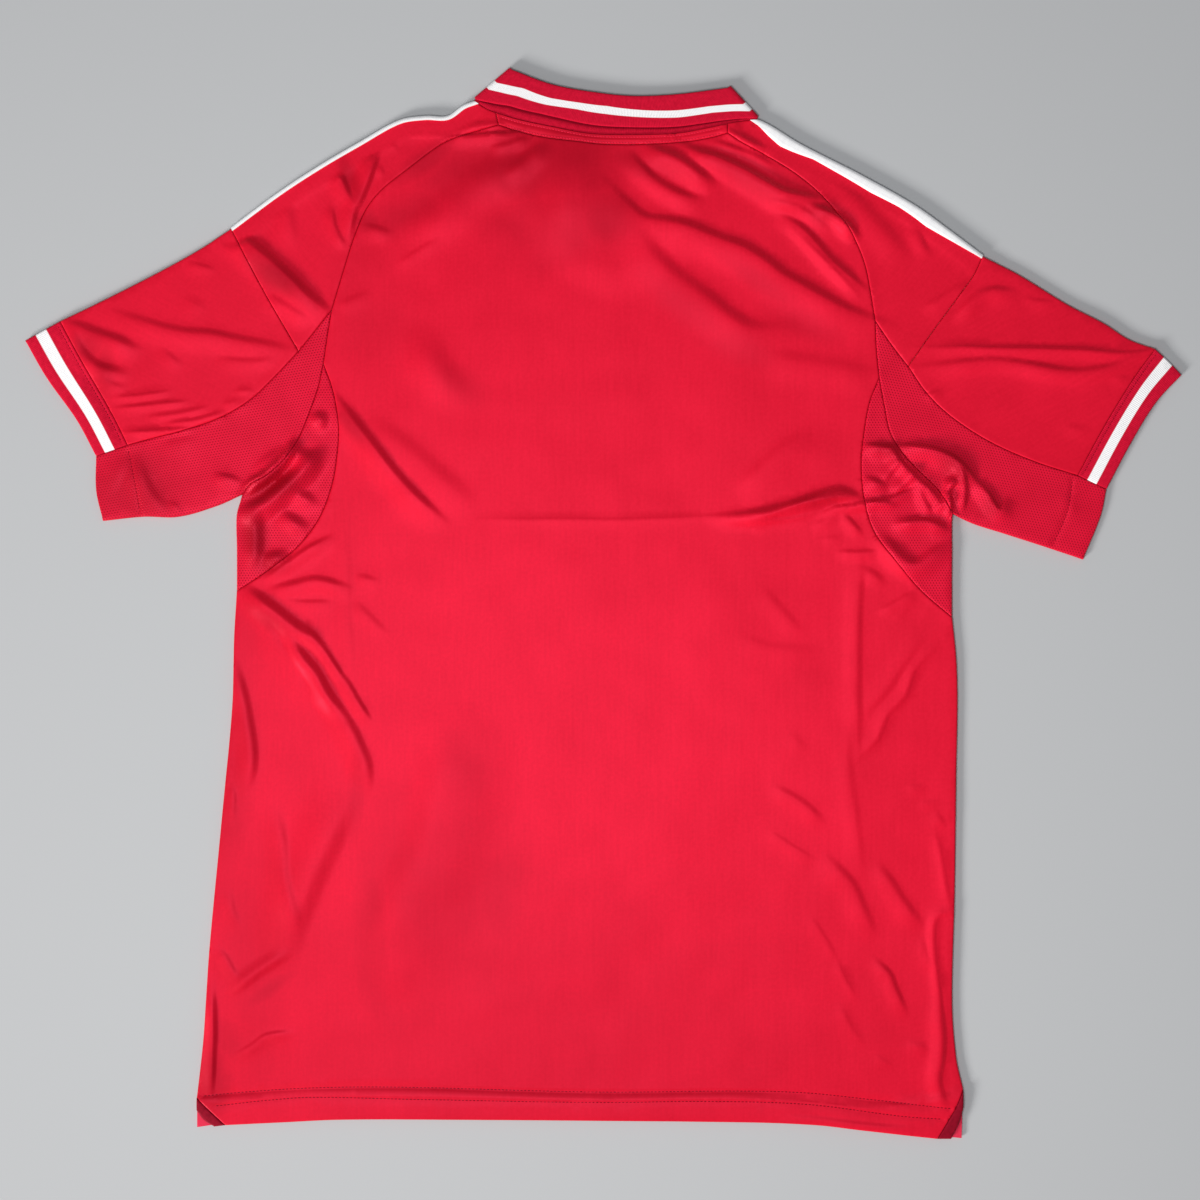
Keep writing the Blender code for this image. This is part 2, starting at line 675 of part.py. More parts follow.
def shoulder_tape(side):
    """The tape over a shoulder fold: the yoke's own points there, moved out."""
    yoke = next(piece for piece in PIECES if piece.name.startswith("yoke"))
    names = yoke.seams.format(side=side).split()
    points, owners = outline(names)
    turn = owners.count(names[0]) + 1
    edge = inset(points, owners, names[0], 0)[:turn]
    deeper = inset(points, owners, names[0], 1)[:turn]
    skins = []
    for out in (GAP + TAPE, GAP):
        rows = []
        for k in range(turn):
            into = deeper[k] - edge[k]
            share = k / (turn - 1)
            top, under = tape_reach(side, share if names[0].endswith("left") else 1 - share)
            ridge = edge[k] + into * WALL
            high, low = upper_layer(ridge)[1] + out, TAPE + GAP - out
            row = [(*(edge[k] + into * top), upper_layer(edge[k] + into * top)[1] + out)]
            row.append((*ridge, high))
            for angle in NOSE_ANGLES:
                rise, reach = math.sin(math.radians(angle)), math.cos(math.radians(angle))
                row.append((*(ridge - into * (WALL + out) * reach), (low + high + (high - low) * rise) / 2))
            row += [(*ridge, low), (*(edge[k] + into * under), low)]
            rows.append(row)
        skins.append([Vector(p) for row in rows for p in row])
    across = len(row)
    faces = ring_faces([[k * across + i for i in range(across)] for k in range(turn)])
    return closed_wall(*skins, faces)


def collar_section(width, fall, end):
    """The collar's section: its distance from the fold and from the middle of the ring, in pairs."""
    stand = (GAP / 2, GAP / 2 + RIB)
    over = (stand[1] + GAP, COLLAR_STACK)
    middle = (stand[0] + over[1]) / 2
    turn = fall + 0.5
    return [
        (width, end - RIB / 2),
        (turn, stand[0]),
        (RIB, stand[0]),
        (RIB / 3, (stand[0] + middle) / 2),
        (0, middle),
        (RIB / 3, (over[1] + middle) / 2),
        (RIB, over[1]),
        (fall, over[1]),
        (fall, over[0]),
        (RIB + GAP, over[0]),
        (RIB, middle),
        (RIB + GAP, stand[1]),
        (turn, stand[1]),
        (width, end + RIB / 2),
    ]


def collar_stations(seam, fold, is_front):
    """Stations along half of the ring: the fold's point, the seam's point and the section there."""
    stand = GAP / 2 + RIB / 2
    outside = COLLAR_STACK - RIB / 2
    stations = []
    for i, foot in enumerate(seam):
        share = i / (len(seam) - 1)
        top = at_share(fold, share)
        width = (foot - top).length
        cover = FALL_SHARE + (FALL_SHARE_ENDS - FALL_SHARE) * abs(2 * share - 1) ** 3
        end = stand
        if is_front:
            end += (outside - stand) * ease(min(share, 1 - share) / TIP_SHARE)
        stations.append((top, foot, collar_section(width, width * cover, end)))
    return stations


def collar():
    """The collar: one rib strip folded along its top, swept round the flattened neck."""
    back_seam = aside(chain(["neck_left", "neck_back", "neck_right"])[0], GAP / 2)
    front_names = ["neck_right", "binding_end_right", "neck_front", "binding_end_left", "neck_left"]
    front_seam = aside(chain(front_names)[0], -GAP / 2)
    back = collar_stations(back_seam, smooth(COLLAR_FOLD_BACK), False)
    front = collar_stations(front_seam, smooth(COLLAR_FOLD_FRONT), True)
    rows = []
    for half, facing, end_side in ((back, 90, 1), (front, -90, -1)):
        turns = [(station, facing) for station in half]
        turns += [(half[-1], facing - end_side * turn) for turn in TIP_TURNS]
        for (top, foot, section), angle in turns:
            along = (foot - top).normalized()
            out = Vector((-along.y, along.x)) * end_side
            reach, rise = math.cos(math.radians(angle)), math.sin(math.radians(angle))
            rows.append(
                [(*(top + along * s + out * r * reach), COLLAR_STACK + r * rise) for s, r in section]
            )
    across = len(rows[0])
    numbers = [[k * across + i for i in range(across)] for k in range(len(rows))]
    numbers = [row + row[:1] for row in numbers]
    return [Vector(p) for row in rows for p in row], ring_faces(numbers + numbers[:1])


def material(name, cloth):
    """A plain material for one piece of this cloth."""
    made = bpy.data.materials.new(f"{name}_{cloth}")
    made.use_nodes = True
    surface = made.node_tree.nodes["Principled BSDF"]
    surface.inputs["Base Color"].default_value = (*CLOTHS[cloth].colour, 1)
    surface.inputs["Roughness"].default_value = CLOTHS[cloth].roughness
    surface.inputs["Metallic"].default_value = CLOTHS[cloth].metallic
    made.diffuse_color = (*CLOTHS[cloth].colour, 1)
    return made


def add_piece(name, cloth, points, faces):
    """Makes the piece's object, in metres, with its faces pointing out."""
    mesh = bpy.data.meshes.new(name)
    mesh.from_pydata([p * MM for p in points], [], faces)
    work = bmesh.new()
    work.from_mesh(mesh)
    bmesh.ops.recalc_face_normals(work, faces=work.faces)
    work.to_mesh(mesh)
    work.free()
    mesh.shade_smooth()
    mesh.set_sharp_from_angle(angle=SHARP)
    mesh.materials.append(material(name, cloth))
    bpy.context.scene.collection.objects.link(bpy.data.objects.new(name, mesh))


def build():
    for old in list(bpy.data.objects):
        bpy.data.objects.remove(old)
    for piece in PIECES:
        sides = ("left", "right") if "{side}" in piece.name else ("",)
        for side in sides:
            names = piece.seams.format(side=side).split()
            add_piece(piece.name.format(side=side), piece.cloth, *layered_piece(piece, names))
    for side in ("left", "right"):
        add_piece(f"shoulder_tape_{side}", "tape", *shoulder_tape(side))
    add_piece("collar", "rib", *collar())


build()
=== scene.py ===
# %% [markdown]
# # A football jersey, laid flat
#
# This lesson dresses a plain CAD model of a crimson football jersey. The jersey lies face down, so its
# back shows: a satin knit body and sleeves, honeycomb mesh under the arms, a striped rib collar and
# rib cuffs, white tape over the shoulders and a small notch at each end of the hem.
#
# The CAD model gives each piece of cloth as a closed wall. It says where everything is, and it is
# never moved. Here each piece is made again on the same form, with the fine creases, the rounded
# edges, the stitching and the knit that a stand-in doesn't have.

# %% Load the frame
import math
from collections import namedtuple

import bpy
import numpy as np
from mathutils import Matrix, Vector, geometry, kdtree, noise


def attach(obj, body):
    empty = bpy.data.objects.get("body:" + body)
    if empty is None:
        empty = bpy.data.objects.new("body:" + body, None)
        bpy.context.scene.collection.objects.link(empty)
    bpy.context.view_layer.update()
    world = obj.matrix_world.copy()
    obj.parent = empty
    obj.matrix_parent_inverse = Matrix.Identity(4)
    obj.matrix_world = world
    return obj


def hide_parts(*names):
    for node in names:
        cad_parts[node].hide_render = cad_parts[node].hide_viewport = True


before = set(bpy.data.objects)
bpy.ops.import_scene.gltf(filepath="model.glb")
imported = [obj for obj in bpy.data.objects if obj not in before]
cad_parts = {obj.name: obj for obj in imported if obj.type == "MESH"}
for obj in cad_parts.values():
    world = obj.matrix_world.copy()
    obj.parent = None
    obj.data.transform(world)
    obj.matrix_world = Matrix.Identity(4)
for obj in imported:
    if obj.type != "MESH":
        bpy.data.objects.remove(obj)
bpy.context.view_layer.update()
print("CAD nodes:", len(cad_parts))

# %% [markdown]
# ## Camera, floor and light
#
# A garment that is laid out is looked at from straight above. A long lens keeps it square, with no
# leaning sides. Cloth shows its folds only in light that comes in low from one side, so the key
# light is a large soft lamp at the lower left, as a window would be. A second lamp overhead and a
# pale sky fill the shadows.

# %% Camera, floor and light
MM = 0.001
SHOWN = 0.87  # metres of the floor across the square picture
LENS, SENSOR = 70.0, 36.0
AIM = Vector((-0.0025, 0.0027, 0.004))


def look_at(thing, target):
    """Turns a camera or a lamp to face a point."""
    thing.rotation_euler = (target - thing.location).to_track_quat("-Z", "Y").to_euler()


def new_object(name, data):
    """An object with this data, linked to the scene."""
    made = bpy.data.objects.new(name, data)
    bpy.context.scene.collection.objects.link(made)
    return made


def new_material(name, values):
    """A material and its shader, with these values on the shader's own sockets."""
    made = bpy.data.materials.new(name)
    made.use_nodes = True
    shader = made.node_tree.nodes["Principled BSDF"]
    for socket, value in values.items():
        shader.inputs[socket].default_value = value
    return made, shader


def soft_lamp(name, place, size, power, colour):
    """A square lamp that shines on the middle of the jersey."""
    data = bpy.data.lights.new(name, "AREA")
    data.size, data.energy, data.color = size, power, colour
    lamp = new_object(name, data)
    lamp.location = place
    look_at(lamp, AIM)


lens = bpy.data.cameras.new("overhead_camera")
lens.lens = LENS
lens.sensor_width = SENSOR
camera = new_object("overhead_camera", lens)
camera.location = AIM + Vector((0, 0, SHOWN * LENS / SENSOR))
bpy.context.scene.camera = camera
bpy.context.scene.view_settings.view_transform = "Standard"

soft_lamp("low_window", (-4.4, -4.1, 2.5), 1.5, 440, (1.0, 0.985, 0.965))
soft_lamp("near_softbox", (-0.2, -0.2, 1.5), 0.4, 12, (1.0, 0.99, 0.98))

sky = bpy.data.worlds.new("pale_room")
sky.use_nodes = True
glow = sky.node_tree.nodes["Background"].inputs
glow["Color"].default_value = (0.93, 0.95, 1.0, 1)
glow["Strength"].default_value = 0.25
bpy.context.scene.world = sky

FLOOR_SIZE, FLOOR_CLEARANCE = 24, 0.0003  # metres
bpy.ops.mesh.primitive_plane_add(size=FLOOR_SIZE, location=(0, 0, -FLOOR_CLEARANCE))
floor = bpy.context.object
floor.name = "pale_floor"
floor_paint = new_material("pale_floor_paint", {"Base Color": (0.47, 0.48, 0.49, 1), "Roughness": 0.9})[0]
floor.data.materials.append(floor_paint)
print("camera height:", round(camera.location.z, 3), "m")

# %% [markdown]
# ## The cutting plan
#
# A jersey is cut from flat pieces, so it is described by its seams. Each corner, seam, fold and free
# edge has a name and a short row of points, in millimetres as the jersey lies. A piece is then a
# list of seam names, and two neighbours that share a seam always fit each other. The curves run
# through their points, so a few points are enough for a long seam.

# %% Corners and seams
SIDES = ("left", "right")
# Where seams meet: x and y at the left, and x and y at the right
CORNER_PAIRS = {
    "neck_end": ((-93, 364), (111, 351)),
    "raglan_top": ((-78, 356), (90, 348)),
    "binding_foot": ((-76, 347), (90, 341)),
    "shoulder_point": ((-270, 272), (275, 252)),
    "yoke_foot": ((-221, 183), (221, 172)),
    "mesh_top": ((-197, 213), (197, 205)),
    "gusset_top": ((-203, 174), (200, 164)),
    "armpit": ((-262, 79), (253, 65)),
    "gusset_foot": ((-266, 9), (253, -10)),
    "cuff_top": ((-394, 205), (400, 185)),
    "cuff_tip": ((-419.5, 191), (419.5, 166)),
    "cuff_foot": ((-345, 115), (344, 93)),
    "cuff_end": ((-368, 107), (365, 83)),
    "sleeve_end": ((-363, 60), (348, 32)),
    "vent_top": ((-295, -358), (261, -352)),
    "vent_side": ((-295, -367), (261, -365)),
    "vent_foot": ((-282, -379), (252, -388)),
    "hem": ((-274, -378), (242, -388)),
    "front_corner": ((-295, -380), (260, -388)),
}
CORNERS = {f"{name}_{side}": at for name, pair in CORNER_PAIRS.items() for side, at in zip(SIDES, pair)}

# The seams, folds and edges: the corners at the two ends, and the points between them
Seam = namedtuple("Seam", "start end through")
SEAMS = {
    "neck_left": Seam("neck_end_left", "raglan_top_left", [(-85, 359)]),
    "neck_back": Seam(
        "raglan_top_left", "raglan_top_right",
        [(-61, 351), (-37, 346), (-10, 341), (18, 340), (53, 341), (76, 345)],
    ),
    "neck_right": Seam("raglan_top_right", "neck_end_right", [(100, 350)]),
    "neck_front": Seam(
        "binding_foot_left", "binding_foot_right",
        [(-64, 316), (-44, 284), (-18, 256), (8, 243), (35, 256), (63, 283), (82, 316)],
    ),
    "binding_edge": Seam(
        "binding_foot_left", "binding_foot_right",
        [(-60, 342), (-42, 338), (-18, 335), (0, 333), (34, 333), (62, 335), (79, 338)],
    ),
    "hem_back": Seam(
        "hem_left", "hem_right",
        [(-232, -376), (-190, -374), (-113, -374), (106, -376), (155, -378), (190, -382), (224, -386)],
    ),
    "hem_front": Seam(
        "front_corner_left", "front_corner_right",
        [(-258, -375), (-190, -372), (-3, -373), (106, -374), (155, -376), (200, -382)],
    ),
}  # fmt: skip
# Those that come in pairs: the corners at the two ends, and the points of the left and the right one
PAIRED_SEAMS = {
    "binding_end": ("raglan_top", "binding_foot", [], []),
    "raglan": (
        "binding_foot", "mesh_top",
        [(-104, 339), (-118, 333), (-141, 316), (-161, 300), (-172, 286), (-181, 265), (-188, 243)],
        [(99, 335), (118, 325), (142, 310), (161, 293), (179, 270), (189, 248), (194, 224)],
    ),
    "armhole_top": ("mesh_top", "gusset_top", [(-200, 195)], [(198, 184)]),
    "armhole": (
        "gusset_top", "armpit",
        [(-207, 156), (-213, 139), (-220, 122), (-230, 105), (-243, 93), (-255, 87)],
        [(204, 142), (208, 124), (217, 109), (229, 96), (243, 82)],
    ),
    "gusset": (
        "gusset_top", "gusset_foot",
        [(-196, 154), (-192, 130), (-193, 108), (-197, 85), (-206, 62), (-221, 42), (-242, 25)],
        [(193, 146), (189, 124), (187, 102), (189, 76), (196, 53), (211, 32), (231, 9)],
    ),
    "shoulder": (
        "neck_end", "shoulder_point",
        [(-101, 361), (-113, 353), (-129, 353), (-148, 350), (-177, 334), (-206, 317), (-235, 298)],
        [(121, 346), (142, 333), (187, 310), (226, 288), (251, 270)],
    ),
    "yoke_seam": ("shoulder_point", "yoke_foot", [(-247, 228)], [(269, 239), (257, 222), (240, 199)]),
    "mesh_upper": ("mesh_top", "yoke_foot", [], [(208, 189)]),
    "mesh_edge": (
        "yoke_foot", "cuff_foot",
        [(-237, 166), (-256, 148), (-278, 135), (-307, 125), (-327, 120)],
        [(235, 152), (253, 135), (281, 117), (313, 103)],
    ),
    "sleeve_top": (
        "shoulder_point", "cuff_top",
        [(-293, 257), (-318, 243), (-343, 230), (-369, 217)],
        [(301, 239), (337, 217), (364, 203), (381, 192)],
    ),
    "cuff_seam": ("cuff_top", "cuff_foot", [(-377, 174), (-356, 137)], [(383, 161), (364, 130)]),
    "cuff_fold": ("cuff_top", "cuff_tip", [], [(409, 177)]),
    "cuff_edge": ("cuff_tip", "cuff_end", [(-404, 164), (-382, 133)], [(401, 146), (383, 117)]),
    "cuff_join": ("cuff_foot", "cuff_end", [], []),
    "sleeve_edge": ("cuff_end", "sleeve_end", [(-368, 82)], [(361, 64)]),
    "sleeve_under": (
        "sleeve_end", "armpit",
        [(-334, 63), (-308, 63), (-280, 71)], [(318, 42), (290, 51), (268, 58)],
    ),
    "side_fold": ("armpit", "gusset_foot", [(-266, 64), (-266, 39)], [(253, 43), (253, 14)]),
    "side": (
        "gusset_foot", "vent_top",
        [(-268, -26), (-269, -70), (-277, -157), (-286, -251), (-290, -313)],
        [(256, -39), (257, -70), (256, -128), (255, -205), (253, -287), (256, -329)],
    ),
    "vent": ("vent_top", "hem", [(-287, -366)], [(255, -366)]),
    "vent_edge": ("vent_top", "vent_side", [], []),
    "vent_outer": ("vent_side", "vent_foot", [(-290, -374)], [(258, -376)]),
    "vent_hem": ("vent_foot", "hem", [], []),
    "front_side": ("vent_top", "front_corner", [], []),
}  # fmt: skip
for name, (start, end, *both) in PAIRED_SEAMS.items():
    for side, through in zip(SIDES, both):
        SEAMS[f"{name}_{side}"] = Seam(f"{start}_{side}", f"{end}_{side}", through)

# Curves that no piece is cut along
HEM_LINE = [(-299, -355), (-258, -354), (-152, -350), (-3, -354), (100, -353), (197, -360), (266, -350)]
COLLAR_FOLD_BACK = [(-66, 387), (-37, 376.5), (-7, 371), (21, 368.2), (53, 369.4), (90, 374)]
COLLAR_FOLD_FRONT = [
    (90, 374), (73, 365), (63, 347), (50, 325), (32, 304), (10, 294),
    (-11, 305), (-30, 328), (-42, 349), (-50, 367), (-66, 387),
]  # fmt: skip

# %% [markdown]
# Two helpers turn the tables into curves. `smooth` runs a curve through a row of points, with a
# sample about every step. `aside` moves a curve sideways, for everything that runs beside a seam,
# such as stitching. numpy works on whole rows of points at once, which keeps fine cloth quick.

# %% Curves
SEAM_STEP = 2.6  # between two samples of a seam
NEARLY_STRAIGHT = 0.02  # the sine of a bend that is too small to mitre


def gaps_of(path):
    """The distance from each point of an open path to the next."""
    return np.linalg.norm(np.diff(path, axis=0), axis=1)


def length_of(path):
    """The length of an open path."""
    return gaps_of(path).sum()


def run_along(path):
    """How far along an open path each of its points is."""
    return np.append(0, np.cumsum(gaps_of(path)))


def smooth(points, step=SEAM_STEP):
    """A smooth curve through these points, which are among its own, as rows of x and y."""
    points = np.array(points, float)
    gaps = gaps_of(points)
    before = np.vstack([points[:1], points[:-1]])
    after = np.vstack([points[1:], points[-1:]])
    reach = np.append(gaps, 0) + np.insert(gaps, 0, 0)
    slopes = (after - before) / reach[:, None]
    parts = [points[:1]]
    for i, gap in enumerate(gaps):
        count = max(1, round(gap / step))
        t = (np.arange(count) + 1)[:, None] / count
        parts.append(
            points[i] * (2 * t**3 - 3 * t**2 + 1)
            + points[i + 1] * (3 * t**2 - 2 * t**3)
            + slopes[i] * gap * (t**3 - 2 * t**2 + t)
            + slopes[i + 1] * gap * (t**3 - t**2)
        )
    return np.vstack(parts)


def left_of(directions):
    """The unit vectors that point to the left of these directions."""
    turned = np.stack([-directions[:, 1], directions[:, 0]], axis=1)
    return turned / np.maximum(np.linalg.norm(turned, axis=1, keepdims=True), 1e-9)


def corner_moves(arrive, leave, arrive_depth, leave_depth):
    """How far each corner moves so that the edges before and after it move left by these depths."""
    first, second = left_of(arrive), left_of(leave)
    cross = first[:, 0] * second[:, 1] - first[:, 1] * second[:, 0]
    bent = np.abs(cross) > NEARLY_STRAIGHT
    safe = np.where(bent, cross, 1.0)
    x = (arrive_depth * second[:, 1] - leave_depth * first[:, 1]) / safe
    y = (leave_depth * first[:, 0] - arrive_depth * second[:, 0]) / safe
    straight = (first + second) / 2 * ((arrive_depth + leave_depth) / 2)[:, None]
    return np.where(bent[:, None], np.stack([x, y], axis=1), straight)


def aside(path, depth):
    """An open path moved to its left by depth, or to its right where depth is below 0."""
    steps = np.diff(path, axis=0)
    depths = np.full(len(path), float(depth))
    return path + corner_moves(np.vstack([steps[:1], steps]), np.vstack([steps, steps[-1:]]), depths, depths)


def close_to(path, points, reach):
    """The numbers of the points that are within reach of a path's box."""
    low, high = path.min(axis=0) - reach, path.max(axis=0) + reach
    return np.flatnonzero(((points > low) & (points < high)).all(axis=1))


def nearest(path, points):
    """Each point's distance from a path, positive to its left, and how far along the path that is."""
    best = np.full(len(points), np.inf)
    side, along = np.ones(len(points)), np.zeros(len(points))
    done = 0.0
    for a, b in zip(path, path[1:]):
        length = np.linalg.norm(b - a)
        run = (b - a) / length
        t = np.clip((points - a) @ run, 0, length)
        away = points - a - t[:, None] * run
        distance = np.hypot(away[:, 0], away[:, 1])
        closer = distance < best
        best = np.where(closer, distance, best)
        side = np.where(closer, np.where(run[0] * away[:, 1] - run[1] * away[:, 0] >= 0, 1, -1), side)
        along = np.where(closer, done + t, along)
        done += length
    return best * side, along


CURVES = {n: smooth([CORNERS[s.start], *s.through, CORNERS[s.end]]) for n, s in SEAMS.items()}
print("metres of seam:", round(sum(length_of(curve) for curve in CURVES.values()) * MM, 2))

# %% Loops of seams
def chain(names):
    """These seams end to end, and the seam that runs on from each point but the last."""
    first, second = SEAMS[names[0]], SEAMS[names[1]]
    corner = first.start if first.end in (second.start, second.end) else first.end
    parts, owners = [], []
    for name in names:
        seam, curve = SEAMS[name], CURVES[name]
        if seam.start == corner:
            corner = seam.end
        else:
            corner = seam.start
            curve = curve[::-1]
        parts.append(curve[:-1])
        owners += [name] * (len(curve) - 1)
    return np.vstack([*parts, curve[-1:]]), np.array(owners)


def signed_area(loop):
    """The area inside a closed loop, below 0 where the loop runs clockwise."""
    ahead = np.roll(loop, -1, axis=0)
    return (loop[:, 0] * ahead[:, 1] - loop[:, 1] * ahead[:, 0]).sum() / 2


def outline(names):
    """The closed loop of these seams, anticlockwise from the start of the first one."""
    points, owners = chain(names)
    points = points[:-1]
    if signed_area(points) < 0:
        points, owners = points[::-1], np.roll(owners[::-1], -1)
    start = int(np.argmax((owners == names[0]) & (np.roll(owners, 1) != names[0])))
    return np.roll(points, -start, axis=0), np.roll(owners, -start)


# %% [markdown]
# ## How the layers lie
#
# The front lies on the floor and the back lies on it. Both are worked out as heights over the floor
# plan: `lower_layer` and `upper_layer` say where the two sides of each layer are at any point. The
# cloth rises over the shoulder tape, over the front of the collar and where the hem is turned up.
#
# Folds are the main thing that shows. A fold in laid cloth is lopsided: a gentle side, a crest, and
# a steep side that falls into shade. Each row below follows the middle of the steep side, which
# faces the upper right, and gives the width of the two sides and the height of the crest. A steep
# side that is below 0 faces the lower left instead, and a height below 0 makes a trough.

